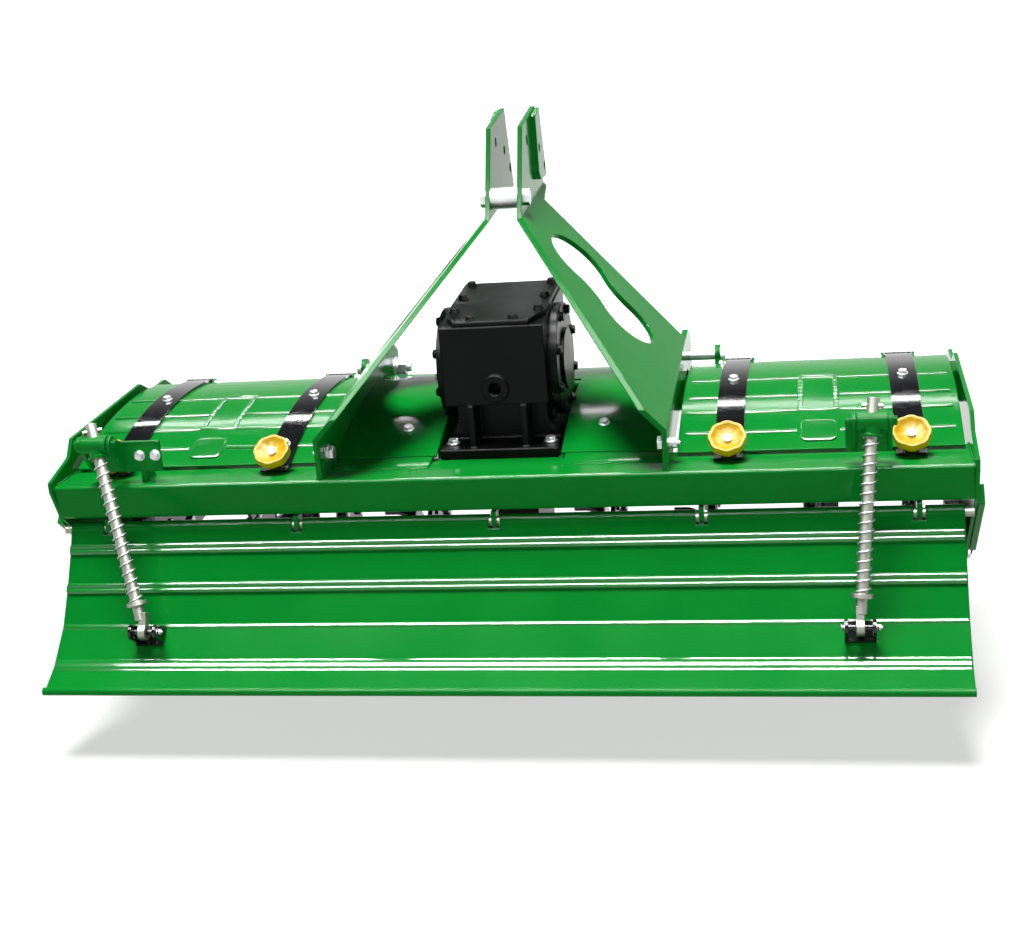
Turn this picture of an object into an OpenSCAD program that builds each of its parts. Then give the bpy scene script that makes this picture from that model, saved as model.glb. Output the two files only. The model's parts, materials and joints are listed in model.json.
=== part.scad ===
// Three-point-hitch rotary tiller with a centre gearbox, seen from behind along +Y.
// X runs to the right, Y forward and Z up. Lengths along Y are measured from the
// rear face of the rear beam, and heights called rise from the top of that beam.

/* [Frame] */
// Width over the two side plates
frame_w = 1800; // [1600:10:2100]
// Height of the rear beam's top above the ground
deck_z = 490; // [480:1:540]
// Depth of the rear beam, front to back
beam_d = 120; // [100:1:122]
// Height of the rear beam
beam_h = 75; // [60:1:78]
// How far the rear beam's upper edge stands out behind its lower edge
beam_nose = 22; // [14:1:26]
// Wall of both beams
beam_wall = 6; // [4:0.5:10]
// Outer corner radius of both beams
beam_corner_r = 10; // [8:0.5:14]
// Distance from the rear beam's rear face to the front beam's rear face
front_beam_y = 545; // [530:1:570]
// Depth of the front beam
front_beam_d = 80; // [70:1:90]
// Height of the front beam
front_beam_h = 75; // [65:1:85]
// Rise of the front beam's top above the rear beam's top
front_beam_rise = 40; // [34:1:44]
// Thickness of the side plates
side_t = 8; // [6:0.5:12]
// Radius of the side plate's round lower end
side_boss_r = 80; // [70:1:90]
// How far the side plate stands out behind the rear beam
side_tail = 3; // [2:0.5:6]
// Thickness of the bed plate under the gearbox
bed_t = 20; // [14:1:24]

/* [Hood] */
// Distance of the crest of the arch from the rear face
crest_y = 430; // [410:1:450]
// Rise of the crest of the arch
crest_rise = 80; // [76:1:88]
// Rise of the covers' rear edge
hood_rear_rise = 8; // [6:0.5:12]
// Thickness of the cover sheets
sheet_t = 4; // [3:0.5:5]
// Rear edge of the covers
hood_rear_y = 80; // [76:1:95]
// Front edge of the covers
hood_front_y = 530; // [520:1:534]
// Gap between a cover and the plates beside it
cover_gap = 9; // [6:0.5:14]

/* [Straps] */
// Distance between the two straps of a cover
strap_pitch = 336; // [300:1:350]
// Width of a strap
strap_w = 55; // [45:1:60]
// Thickness of a strap
strap_t = 5; // [4:0.5:8]
// Radius of the hinge pin of a strap
hinge_pin_r = 7; // [5:0.5:8]
// Radius of the hinge knuckle of a strap
knuckle_r = 12; // [11:0.5:14]
// Distance of the cover hinge axis from the rear face
hinge_y = 556; // [552:1:566]
// Rise of the cover hinge axis
hinge_rise = 66; // [64:1:69]
// Distance of a knob's seat on its strap from the rear face
knob_y = 71; // [70:0.5:72]
// Radius of a clamp knob
knob_r = 37; // [30:1:40]
// Height of a clamp knob
knob_h = 20; // [16:1:26]
// Height of the hub between a knob and its strap
hub_h = 28; // [22:1:32]
// Radius of the knob's stud
stud_r = 5.5; // [4.5:0.5:6]

/* [Mast] */
// Distance between the outer faces of the two mast plates, the lower hitch's shoulder width
mast_w = 683; // [660:1:700]
// Thickness of a mast plate
mast_t = 10; // [8:0.5:14]
// Clear gap between the two upper ears, for the top link
ear_gap = 56; // [50:1:64]
// Slope of the two bend lines of a mast plate
bend_slope = 6.5; // [4:0.5:8]
// Rise of the lower bend line at the rear face
low_bend_rise = 78; // [72:1:84]
// Rise of the upper bend line at the rear face
high_bend_rise = 399; // [390:1:410]
// Radius of the upper round of a mast plate's window
window_top_r = 78; // [64:1:84]
// Radius of the lower round of a mast plate's window
window_low_r = 73; // [60:1:80]
// Radius of the waist on both sides of the window
window_waist_r = 107; // [90:1:130]
// Thickness of the pads on the outer faces of the ears
pad_t = 10; // [8:1:16]
// Radius of the top-link holes
top_hole_r = 9.7; // [9:0.1:13]
// Radius of the spacer tube between the ears
spacer_r = 22; // [18:1:26]
// Radius of the bolt through the spacer tube
spacer_bolt_r = 10; // [8:0.5:12]

/* [Lower hitch] */
// Distance of the lower hitch pin from the rear face
pin_y = 604; // [600:1:612]
// Rise of the lower hitch pin
pin_rise = 77; // [74:1:84]
// Radius of the lower hitch pin
pin_r = 11; // [10:0.5:14]
// Clear gap between mast plate and outer hitch plate
hitch_gap = 55; // [48:1:64]
// Thickness of the outer hitch plate
hitch_t = 12; // [10:1:16]
// Radius of the nose round the hitch pin
nose_r = 34; // [28:1:38]

/* [Gearbox] */
// Width of the gearbox body
box_w = 206; // [190:1:216]
// Rear face of the gearbox body
box_rear_y = 112; // [106:1:120]
// Front face of the gearbox body
box_front_y = 385; // [370:1:400]
// Rise of the top of the gearbox body
box_top_rise = 262; // [250:1:280]
// Slope of the top towards the rear
box_slope = 5.9; // [4:0.1:8]
// Rise of the body's lower edge
waist_rise = 106; // [95:1:115]
// How far the waist lies behind the body's rear and front faces
waist_in = 53; // [40:1:60]
// Width of the foot
foot_w = 236; // [228:1:240]
// Thickness of the foot
foot_t = 20; // [14:1:26]
// Rise of the input shaft
input_rise = 139; // [130:1:150]
// Radius of the splined input shaft
input_r = 17.5; // [14:0.5:20]
// Length of the splined input shaft in front of its cap
input_l = 85; // [70:1:95]
// Radius of the round side covers
side_cover_r = 112; // [95:1:116]
// Thickness of the round side covers
side_cover_t = 18; // [12:1:22]
// Half the width of the drive case under the bed
case_half_w = 46; // [40:1:60]
// Radius of the drive case's round lower end
case_r = 86; // [75:1:95]

/* [Rotor] */
// Distance of the rotor axis from the rear face
rotor_y = 320; // [314:1:326]
// Height of the rotor axis above the ground
rotor_z = 250; // [249:1:253]
// Radius of the circle of the tine tips
tip_r = 245; // [225:1:246]
// Radius of the rotor tube
rotor_r = 38; // [32:1:45]
// Radius of a tine flange
flange_r = 96; // [85:1:105]
// Thickness of a tine flange
flange_t = 10; // [8:1:14]
// Tine flanges on each half of the rotor
flange_count = 4; // [3:1:4]
// Distance of the first flange from the middle
flange_first_x = 195; // [190:1:205]
// Distance of the last flange from the side plate
flange_end_gap = 97; // [95:1:105]
// Tines on one flange
tine_count = 6; // [4:2:6]
// Thickness of a tine
tine_t = 8; // [6:0.5:10]
// Sideways reach of a tine's bent end
tine_reach = 58; // [40:1:62]
// Radius of the bend of a tine
tine_bend_r = 28; // [20:1:34]
// Width of a tine's shank
shank_w = 46; // [40:1:50]
// How far a shank reaches in over its flange
shank_in = 34; // [28:1:40]
// Radius of a tine's backward sweep
sweep_r = 190; // [170:1:220]
// How far a tine's tip lags behind its shank
tip_lag = 84; // [70:1:90]
// Radius of the rotor's end journals
journal_r = 22; // [18:0.5:28]
// Radius of the bearing housings
bearing_r = 60; // [50:1:68]
// Depth of the bearing housings inside the side plates
bearing_l = 30; // [24:1:40]

/* [Skids] */
// Width of a skid's sole
sole_w = 40; // [32:1:46]
// Thickness of a skid's sole
sole_t = 10; // [6:1:12]
// Thickness of a skid's web
web_t = 12; // [8:1:14]

/* [Tail board] */
// Distance of the tail hinge from the rear face
tail_hinge_y = 8; // [4:1:14]
// Depth of the tail hinge under the rear beam's top
tail_hinge_drop = 98; // [96:1:106]
// Radius of the tail hinge rod
tail_rod_r = 9; // [7:0.5:10]
// Radius of the rolled top edge of the tail board
tail_roll_r = 14; // [12.5:0.5:15]
// Gap between the tail board's ends and the side plates
tail_gap = 17; // [12:1:30]
// Height of the beads pressed into the tail board
bead_h = 4; // [3:0.5:5]
// Half the width of a bead
bead_half = 11; // [9:0.5:14]
// Radius of the rolled lower hem
hem_r = 8; // [6:0.5:10]

/* [Rods and springs] */
// Distance of the rod clevises from the side plates
clevis_in = 210; // [190:1:230]
// Distance of the left rod's sleeve from its side plate
sleeve_left_in = 113; // [105:1:150]
// Distance of the right rod's sleeve from its side plate
sleeve_right_in = 180; // [165:1:190]
// Distance of the rod brackets' gussets from the side plates
gusset_in = 187; // [170:1:195]
// Distance of the sleeves' pivots behind the rear face
sleeve_back = 34; // [30:1:40]
// Rise of the sleeves' pivots
sleeve_rise = 90; // [84:1:96]
// Radius of a rod
rod_r = 11; // [9:0.5:12]
// Radius of the coil at the middle of the wire
coil_r = 16; // [15:0.5:17]
// Radius of the spring wire
wire_r = 1.8; // [1.4:0.1:2.2]
// Turns of a spring
coil_turns = 16; // [12:1:20]
// Width of a rod's eye
eye_w = 14; // [10:1:18]
// Clear gap between the ears of a tail clevis
clevis_gap = 44; // [42:1:48]

/* [Hidden] */

// Curve steps: for round pieces, for the long arcs of the hood and for small rounds
$fn = 64;
arc_fn = 720;
small_fn = 32;

// Running clearance of a shaft in its hole
run = 0.05;
// Clearance between flat faces that slide past one another
slack = 1;
// Gap kept between round faces of different bodies
skin = 0.3;
// Overlap that makes a cut go clean through
cut = 1;
// How far a straight edge dips under the round that it runs into
nip = 1;

green = "#0a7a2a";
black = "#17181a";
zinc = "#b9bcc0";
yellow = "#f0c000";
steel = "#6f7276";

half_w = frame_w / 2;
inner_x = half_w - side_t;
front_y = front_beam_y + front_beam_d;
front_top_z = deck_z + front_beam_rise;
beam_low_z = deck_z - beam_h;
// Lower rear corner of a side plate, in front of the beam's lower edge
plate_low = [3, beam_low_z];

// Outer radius and centre of the hood's arch, through its crest and its rear edge
hood_drop = crest_rise - hood_rear_rise;
hood_r = (pow(crest_y - hood_rear_y, 2) + pow(hood_drop, 2)) / (2 * hood_drop);
arch = [crest_y, deck_z + crest_rise - hood_r];

// Half the thickness of a mast plate on each side of its middle plane
mast_mid_x = (mast_w - mast_t) / 2;
ear_mid_x = (ear_gap + mast_t) / 2;
mast_out_x = mast_w / 2;

pin = [pin_y, deck_z + pin_rise];
hinge = [hinge_y, deck_z + hinge_rise];
tail_hinge = [tail_hinge_y, deck_z - tail_hinge_drop];
rotor = [rotor_y, rotor_z];
input_z = deck_z + input_rise;

// Height of a tine's bent end, whose rear corner lies on the tip circle
tine_end = sqrt(pow(tip_r, 2) - pow(tip_lag, 2));

// Bends of the tail board from its rolled top edge to its hem, from the hinge axis
tail_bends = [[-14, 0], [-30, -34], [-70, -103], [-113, -168], [-174, -225], [-228, -256]];
tail_t = 4;
// Which of the bends carry a pressed bead
beaded = [false, true, true, false, false, false];
tail_path = [for (i = [0:len(tail_bends) - 1]) each beaded[i] ? bead(i) : [tail_hinge + tail_bends[i]]];
hem = tail_path[len(tail_path) - 1] + [-2, 2];

// Four corners of the bead at bend i, standing out to the rear
function bead(i) =
    let (up = unit(tail_bends[i - 1] - tail_bends[i]))
    let (down = unit(tail_bends[i + 1] - tail_bends[i]))
    let (out = -unit(left_of(down - up)))
    [for (q = [bead_half * up, bead_half / 2 * up + bead_h * out, bead_half / 2 * down + bead_h * out,
        bead_half * down])
        tail_hinge + tail_bends[i] + q];

// Pin of the tail clevis and pivot of the sleeve
clevis_pin = tail_hinge + [-160, -160];
sleeve_pin = [-sleeve_back, deck_z + sleeve_rise];
clevis_pin_r = 6;
eye_r = 16;
eye_slack = 2.5;

// The part stands with its box centred on the origin
back_y = hem[0] - hem_r;
nose_y = pin_y + nose_r;
mid_y = (back_y + nose_y) / 2;

module placed() {
    translate([0, -mid_y, 0])
        children();
}

// An outline in Y and Z given thickness t along X, starting at x
module slab(x, t) {
    translate([x, 0, 0])
        rotate([90, 0, 90])
            linear_extrude(t)
                children();
}

// The same slab on the left or the right side of the machine, from x outwards
module side_slab(side, x, t) {
    slab(side > 0 ? x : -x - t, t)
        children();
}

// A round bar along X from x over length l, about a point in Y and Z
module bar_x(p, r, x, l) {
    translate([x, p[0], p[1]])
        rotate([0, 90, 0])
            cylinder(r = r, h = l);
}

// The same bar on one side of the machine
module side_bar(side, p, r, x, l) {
    bar_x(p, r, side > 0 ? x : -x - l, l);
}

function unit(v) = v / norm(v);
function left_of(v) = [-v[1], v[0]];
function reversed(list) = [for (i = [len(list) - 1:-1:0]) list[i]];

// A path moved to its left by d, with mitred corners
function beside(path, d) = [
    for (i = [0:len(path) - 1])
        let (a = left_of(unit(path[max(i, 1)] - path[max(i, 1) - 1])))
        let (b = left_of(unit(path[min(i + 1, len(path) - 1)] - path[min(i + 1, len(path) - 1) - 1])))
        let (m = unit(a + b))
        path[i] + m * d / (m * b)];

// A closed ring of corners, listed to the left, moved inwards by d
function inset(ring, d) =
    let (n = len(ring))
    let (path = beside(concat([ring[n - 1]], ring, [ring[0]]), d))
    [for (i = [1:n]) path[i]];

// A closed ring with each corner cut back by c along both of its sides
function folds(ring, c) =
    let (n = len(ring))
    [for (i = [0:n - 1])
        each [
            ring[i] + c * unit(ring[(i + n - 1) % n] - ring[i]),
            ring[i] + c * unit(ring[(i + 1) % n] - ring[i])]];

// A folded sheet of thickness t along a path
module folded(path, t) {
    polygon(concat(path, reversed(beside(path, t))));
}

// Touching point on a circle of the line from p, on the given side
function tangent(p, c, r, side) =
    let (d = norm(p - c))
    let (a = atan2(p[1] - c[1], p[0] - c[0]) + side * acos(r / d))
    c + r * [cos(a), sin(a)];

// Outer height of the hood's arch at y, moved out by d
function arch_z(y, d = 0) = arch[1] + sqrt(pow(hood_r + d, 2) - pow(y - arch[0], 2));

// A strip of the hood's arch between two radii offsets and two places along Y
module arch_strip(inner, outer, y0, y1) {
    reach = 2 * hood_r;
    intersection() {
        translate(arch)
            difference() {
                circle(r = hood_r + outer, $fn = arc_fn);
                circle(r = hood_r + inner, $fn = arc_fn);
            }
        polygon([
            arch,
            arch + reach * unit([y0, arch_z(y0)] - arch),
            arch + reach * unit([y1, arch_z(y1)] - arch)]);
    }
}

// A rounded rectangle from the origin corner
module rounded(size, r) {
    translate([r, 0])
        square([size[0] - 2 * r, size[1]]);
    translate([0, r])
        square([size[0], size[1] - 2 * r]);
    for (u = [r, size[0] - r], v = [r, size[1] - r])
        translate([u, v])
            circle(r = r, $fn = small_fn);
}

// A rectangular tube between the side plates
module beam(corner, size) {
    slab(-inner_x, 2 * inner_x)
        translate(corner)
            difference() {
                rounded(size, beam_corner_r);
                translate([beam_wall, beam_wall])
                    rounded(size - 2 * [beam_wall, beam_wall], beam_corner_r - beam_wall);
            }
}

cover_in_x = mast_out_x + cover_gap;
cover_out_x = inner_x - cover_gap;
strap_mid_x = (cover_in_x + cover_out_x) / 2;
strap_xs = [strap_mid_x - strap_pitch / 2, strap_mid_x + strap_pitch / 2];

// Seat of a knob on the outer face of its strap, and the lean of the stud square to it
strap_lift = 0.2;
seat_z = arch_z(knob_y, strap_lift + strap_t);
knob_lean = asin((crest_y - knob_y) / (hood_r + strap_lift + strap_t));
hub_r = 13;
// Length of the stud under the strap, and where it enters the beam and ends
stud_l = 22;
stud_room = 3;
stud_hole_r = stud_r + stud_room;
stud_foot_y = knob_y + (seat_z - deck_z) * tan(knob_lean);
stud_tip_y = knob_y + stud_l * sin(knob_lean);

tail_half = inner_x - tail_gap;
tail_w = 2 * tail_half;
tail_lug_t = 10;
tail_lug_in = 80;
tail_lug_xs = [for (i = [-1:0.5:1]) i * (tail_half - tail_lug_in)];
clevis_x = inner_x - clevis_in;

// Corners of the rear beam's section, whose rear face leans in below its upper edge
beam_corners = [[0, beam_low_z], [beam_d, beam_low_z], [beam_d, deck_z], [-beam_nose, deck_z]];

// Folded section of the rear beam
module beam_section() {
    fold = 0.6 * beam_corner_r;
    soft_fold = fold / 3;
    difference() {
        polygon(folds(folds(beam_corners, fold), soft_fold));
        polygon(inset(beam_corners, beam_wall));
    }
}

module rear_beam() {
    color(green)
        placed() {
            difference() {
                slab(-inner_x, 2 * inner_x)
                    beam_section();
                for (side = [-1, 1], x = strap_xs)
                    translate([side * x, stud_foot_y, deck_z - beam_wall - cut]) {
                        cylinder(r = stud_hole_r, h = beam_wall + 2 * cut);
                        translate([0, stud_tip_y - stud_foot_y, 0])
                            cylinder(r = stud_hole_r, h = beam_wall + 2 * cut);
                        translate([-stud_hole_r, 0, 0])
                            cube([2 * stud_hole_r, stud_tip_y - stud_foot_y, beam_wall + 2 * cut]);
                    }
            }
            for (x = tail_lug_xs)
                tail_lug(x);
        }
}

// A lug under the rear beam that carries the tail hinge rod
module tail_lug(x) {
    slab(x - tail_lug_t / 2, tail_lug_t)
        difference() {
            union() {
                translate([tail_hinge[0] - tail_roll_r, tail_hinge[1]])
                    square([2 * tail_roll_r, beam_low_z - tail_hinge[1]]);
                translate(tail_hinge)
                    circle(r = tail_roll_r);
            }
            translate(tail_hinge)
                circle(r = tail_rod_r);
        }
}

module front_beam() {
    color(green)
        placed()
            beam([front_beam_y, front_top_z - front_beam_h], [front_beam_d, front_beam_h]);
}

// Half the width of the opening round the gearbox, clear of its side covers
deck_room = 4;
deck_gap_half = box_w / 2 + side_cover_t + deck_room;

module bed_plate() {
    color(green)
        placed()
            translate([-deck_gap_half, beam_d, deck_z - bed_t])
                cube([2 * deck_gap_half, front_beam_y - beam_d, bed_t]);
}

// Outline of a side plate in Y and Z, round below where it carries the rotor
module side_outline() {
    rear_y = -beam_nose - side_tail;
    crest_z = deck_z + crest_rise;
    lip = 10;
    step_rise = 28;
    step_l = 26;
    peak_ahead = 29;
    peak_over = 14;
    dip = 14;
    ear_in = 25;
    front_out = 8;
    front_low = [front_y + front_out, front_top_z - front_beam_h];
    polygon([
        [rear_y, deck_z + lip],
        [hood_rear_y - lip, deck_z + hood_rear_rise + step_rise],
        [hood_rear_y - lip + step_l, crest_z - lip],
        [crest_y + peak_ahead, crest_z + peak_over],
        [hood_front_y - dip, crest_z - dip],
        [front_y - ear_in, crest_z - lip],
        [front_y + front_out, front_top_z + lip],
        front_low,
        tangent(front_low, rotor, side_boss_r - nip, -1),
        tangent(plate_low, rotor, side_boss_r - nip, 1),
        plate_low,
        [rear_y, deck_z - lip]]);
}

// Radius of a bearing's spigot, which fills the hole in its side plate
spigot_wall = 4;
spigot_r = journal_r + spigot_wall;

module side_plate(side) {
    color(green)
        placed()
            difference() {
                union() {
                    side_slab(side, inner_x, side_t)
                        side_outline();
                    side_bar(side, rotor, side_boss_r, inner_x, side_t);
                }
                side_bar(side, rotor, spigot_r, inner_x - cut, side_t + 2 * cut);
            }
}

// Sheet between the mast plates, with flanges down to the bed plate beside the gearbox
module center_deck() {
    opening_end = box_front_y + cap_l;
    rear_lap = 30;
    front_lap = 15;
    color(green)
        placed() {
            difference() {
                slab(-mast_mid_x + mast_t / 2, 2 * mast_mid_x - mast_t)
                    arch_strip(-sheet_t, 0, beam_d - rear_lap, hood_front_y + front_lap);
                translate([-deck_gap_half, 0, deck_z - bed_t])
                    cube([2 * deck_gap_half, opening_end, box_top_rise]);
            }
            for (side = [-1, 1])
                side_slab(side, deck_gap_half, sheet_t)
                    intersection() {
                        translate([beam_d, deck_z - bed_t])
                            square([opening_end - beam_d, bed_t + crest_rise]);
                        translate(arch)
                            circle(r = hood_r - sheet_t + nip, $fn = arc_fn);
                    }
        }
}

// Runner below a side plate, with its arm along the plate's rear edge
module skid(side) {
    edge = unit(tangent(plate_low, rotor, side_boss_r, 1) - plate_low);
    inward = left_of(edge);
    arm_w = 40;
    arm_l = 240;
    start = plate_low + [7, -10];
    sole_back = 130;
    sole_ahead = 120;
    sole_rear = rotor_y - sole_back;
    sole_front = rotor_y + sole_ahead;
    toe = 46;
    heel = 18;
    shoulder = [66, 58];
    color(green)
        placed() {
            side_slab(side, half_w, web_t)
                polygon([
                    start,
                    start + arm_l * edge,
                    start + arm_l * edge + arm_w * inward,
                    start + arm_w * inward]);
            union() {
                side_slab(side, inner_x, side_t)
                    difference() {
                        polygon([
                            [sole_rear + heel, sole_t - nip],
                            [sole_front, sole_t - nip],
                            rotor + [shoulder[0], -shoulder[1]],
                            rotor - shoulder]);
                        translate(rotor)
                            circle(r = side_boss_r + skin);
                    }
                side_slab(side, half_w - sole_w, sole_w)
                    folded(
                        [[sole_front + toe, toe], [sole_front, 0], [sole_rear + heel, 0], [sole_rear, heel]],
                        -sole_t);
            }
        }
}

// Bearing housing on the inside of a side plate, with its cap outside
module bearing(side) {
    cap_in = 8;
    cap_r = bearing_r - cap_in;
    cap_t = 14;
    color(black)
        placed()
            difference() {
                union() {
                    side_bar(side, rotor, bearing_r, inner_x - bearing_l, bearing_l);
                    side_bar(side, rotor, spigot_r, inner_x - cut, side_t + 2 * cut);
                    side_bar(side, rotor, cap_r, half_w, cap_t);
                }
                side_bar(side, rotor, journal_r + run, inner_x - bearing_l - cut, bearing_l + cut);
            }
}

// Height of a sloping bend line at y
function bend_z(rise, y) = deck_z + rise + tan(bend_slope) * y;

// Holes for the top link and the spacer bolt
top_hole = [550, deck_z + 555];
second_hole = [462, deck_z + 580];
third_hole = [602, deck_z + 512];
spacer_at = [374, deck_z + 474];

// Corners of an upper ear and of the leaning part of a mast plate
ear_rear_top = top_hole + [-130, 58];
ear_front_top = top_hole + [37, 85];
ear_front_mid = top_hole + [58, -5];
ear_front_low = top_hole + [82, -89];
ear_rear_y = 332;
notch = [540, bend_z(high_bend_rise, 540) - 14];
lean_front_y = 505;
lean_knee = [-12, deck_z + 118];
foot_front_y = 60;
foot_toe_y = 510;
nose_side = 16;
nose_top = 10;
nose_high = 50;

module mast_outline() {
    polygon([
        [lean_knee[0], deck_z],
        [foot_front_y, deck_z],
        [foot_toe_y, arch_z(foot_toe_y, -sheet_t - 2 * slack)],
        [pin_y - nose_r, front_top_z],
        [pin_y + nose_top, front_top_z],
        pin + [nose_r, -nose_side],
        pin + [nose_r, nose_high - nose_side],
        pin + [nose_top, nose_high],
        [pin_y - nose_r, bend_z(low_bend_rise, pin_y - nose_r)],
        [lean_front_y, bend_z(low_bend_rise, lean_front_y)],
        notch,
        ear_front_low,
        ear_front_mid,
        ear_front_top,
        ear_rear_top,
        [ear_rear_y, bend_z(high_bend_rise, ear_rear_y)],
        lean_knee]);
}

// Bent strip of a mast plate, folded along two sloping lines
module mast_strip(side) {
    low_z = (deck_z + low_bend_rise) * cos(bend_slope);
    high_z = (deck_z + high_bend_rise) * cos(bend_slope);
    path = [
        [side * mast_mid_x, 0],
        [side * mast_mid_x, low_z],
        [side * ear_mid_x, high_z],
        [side * ear_mid_x, 2 * deck_z + high_bend_rise]];
    reach = 2 * front_y;
    rotate([bend_slope, 0, 0])
        translate([0, reach, 0])
            rotate([90, 0, 0])
                linear_extrude(2 * reach)
                    folded(beside(path, -mast_t / 2), mast_t);
}

// Centres of the window's two rounds and of its waists, along and up the leaning part
window_top = [415, 285];
window_low = [347, 145];
function waist(side) =
    let (span = norm(window_low - window_top))
    let (along = unit(window_low - window_top))
    let (top_d = window_top_r + window_waist_r)
    let (low_d = window_low_r + window_waist_r)
    let (a = (pow(span, 2) + pow(top_d, 2) - pow(low_d, 2)) / (2 * span))
    window_top + a * along + side * sqrt(pow(top_d, 2) - pow(a, 2)) * left_of(along);

module window_outline() {
    union() {
        translate(window_top)
            circle(r = window_top_r);
        translate(window_low)
            circle(r = window_low_r);
        difference() {
            polygon([
                window_top + (window_top_r - skin) * unit(waist(1) - window_top),
                window_low + (window_low_r - skin) * unit(waist(1) - window_low),
                window_low + (window_low_r - skin) * unit(waist(-1) - window_low),
                window_top + (window_top_r - skin) * unit(waist(-1) - window_top)]);
            for (side = [-1, 1])
                translate(waist(side))
                    circle(r = window_waist_r);
        }
    }
}

// Waisted opening in the leaning part of a mast plate, cut square to it
module mast_window(side) {
    lean = atan2(mast_mid_x - ear_mid_x, (high_bend_rise - low_bend_rise) * cos(bend_slope));
    translate([side * mast_mid_x, 0, deck_z + low_bend_rise])
        rotate([bend_slope, 0, 0])
            rotate([0, -side * lean, 0])
                slab(-3 * mast_t, 6 * mast_t)
                    window_outline();
}

// Pad that thickens the front half of an ear round the top-link holes
module ear_pad(side) {
    edge = 3;
    rear_y = top_hole[0] - 22;
    low_z = third_hole[1] - 23;
    corner = 17;
    side_slab(side, ear_gap / 2 + mast_t - nip, pad_t + nip)
        polygon([
            [rear_y, ear_front_top[1] - corner],
            [rear_y, low_z + corner],
            [rear_y + corner, low_z],
            [third_hole[0] + 18, low_z],
            ear_front_mid - [edge, 0],
            ear_front_top - [edge, edge]]);
}

module mast(side) {
    color(green)
        placed()
            difference() {
                union() {
                    intersection() {
                        mast_strip(side);
                        slab(-mast_w, 2 * mast_w)
                            mast_outline();
                    }
                    ear_pad(side);
                }
                mast_window(side);
                for (p = [top_hole, second_hole, third_hole])
                    bar_x(p, top_hole_r, -2 * ear_gap, 4 * ear_gap);
                bar_x(spacer_at, spacer_bolt_r + run, -2 * ear_gap, 4 * ear_gap);
                side_bar(side, pin, pin_r + run, mast_mid_x - mast_t, 2 * mast_t);
            }
}

module mast_spacer() {
    head_r = 17;
    head_t = 13;
    grip = ear_gap / 2 + mast_t;
    color(zinc)
        placed() {
            bar_x(spacer_at, spacer_r, -ear_gap / 2, ear_gap);
            bar_x(spacer_at, spacer_bolt_r, -grip, 2 * grip);
            for (side = [-1, 1])
                side_bar(side, spacer_at, head_r, grip, head_t, $fn = 6);
        }
}

hitch_x = mast_out_x + hitch_gap;

// Outer plate of a lower hitch point, standing on the front beam
module hitch_plate(side) {
    top_r = 22;
    color(green)
        placed()
            side_slab(side, hitch_x, hitch_t)
                difference() {
                    union() {
                        polygon([
                            [pin_y - nose_r, front_top_z],
                            [front_y, front_top_z],
                            pin + [top_r - nip, 0],
                            pin - [top_r - nip, 0]]);
                        translate(pin)
                            circle(r = top_r);
                    }
                    translate(pin)
                        circle(r = pin_r + run);
                }
}

module hitch_pin(side) {
    inner_end = 36;
    head_t = 10;
    head_r = 19;
    color(zinc)
        placed() {
            side_bar(side, pin, pin_r, mast_out_x - mast_t - inner_end,
                mast_t + inner_end + hitch_gap + hitch_t);
            side_bar(side, pin, head_r, hitch_x + hitch_t, head_t);
        }
}

// Rise of the gearbox top at y
function box_top(y) = deck_z + box_top_rise + tan(box_slope) * (y - box_rear_y);

foot_out = 13;
waist_side_in = 12;
flare_rise = 62;
ease = 10;

// Half outline of the gearbox in X and Z, from foot to top
module gearbox_half() {
    waist_half = box_w / 2 - waist_side_in;
    polygon([
        [0, 0],
        [foot_w / 2, 0],
        [foot_w / 2, foot_t],
        [waist_half, flare_rise],
        [waist_half, waist_rise - ease],
        [box_w / 2, waist_rise],
        [box_w / 2, 2 * box_top_rise],
        [0, 2 * box_top_rise]]);
}

// Outline of the gearbox in Y and Z, waisted above its foot
module gearbox_side() {
    waist_z = deck_z + waist_rise;
    polygon([
        [box_rear_y - foot_out, deck_z],
        [box_front_y + foot_out, deck_z],
        [box_front_y + foot_out, deck_z + foot_t],
        [box_front_y - waist_in, deck_z + foot_t + ease / 2],
        [box_front_y - waist_in, waist_z - ease],
        [box_front_y, waist_z],
        [box_front_y, box_top(box_front_y)],
        [box_rear_y, box_top(box_rear_y)],
        [box_rear_y, waist_z],
        [box_rear_y + waist_in, waist_z - ease],
        [box_rear_y + waist_in, deck_z + foot_t + ease / 2],
        [box_rear_y - foot_out, deck_z + foot_t]]);
}

// Cast housing with its flared foot, ribs under the rear face and the boss of the filler hole
module gearbox_housing() {
    rib_t = 12;
    rib_x = 53;
    boss_r = 27;
    boss_h = 6;
    hole_r = 12;
    hole_d = 30;
    color(black)
        placed()
            difference() {
                union() {
                    intersection() {
                        translate([0, box_front_y + foot_out, deck_z])
                            rotate([90, 0, 0])
                                linear_extrude(box_front_y - box_rear_y + 2 * foot_out)
                                    union() {
                                        gearbox_half();
                                        mirror([1, 0])
                                            gearbox_half();
                                    }
                        slab(-foot_w, 2 * foot_w)
                            gearbox_side();
                    }
                    translate([0, box_rear_y + 1, input_z])
                        rotate([90, 0, 0])
                            cylinder(r = boss_r, h = boss_h + 1);
                    for (side = [-1, 1], y = [box_rear_y - 2, box_front_y - waist_in - 4])
                        translate([side * rib_x - rib_t / 2, y, deck_z + foot_t - 1])
                            cube([rib_t, waist_in + 3, waist_rise - foot_t]);
                }
                translate([0, box_rear_y + hole_d, input_z])
                    rotate([90, 0, 0])
                        cylinder(r = hole_r, h = 2 * hole_d);
            }
}

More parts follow.
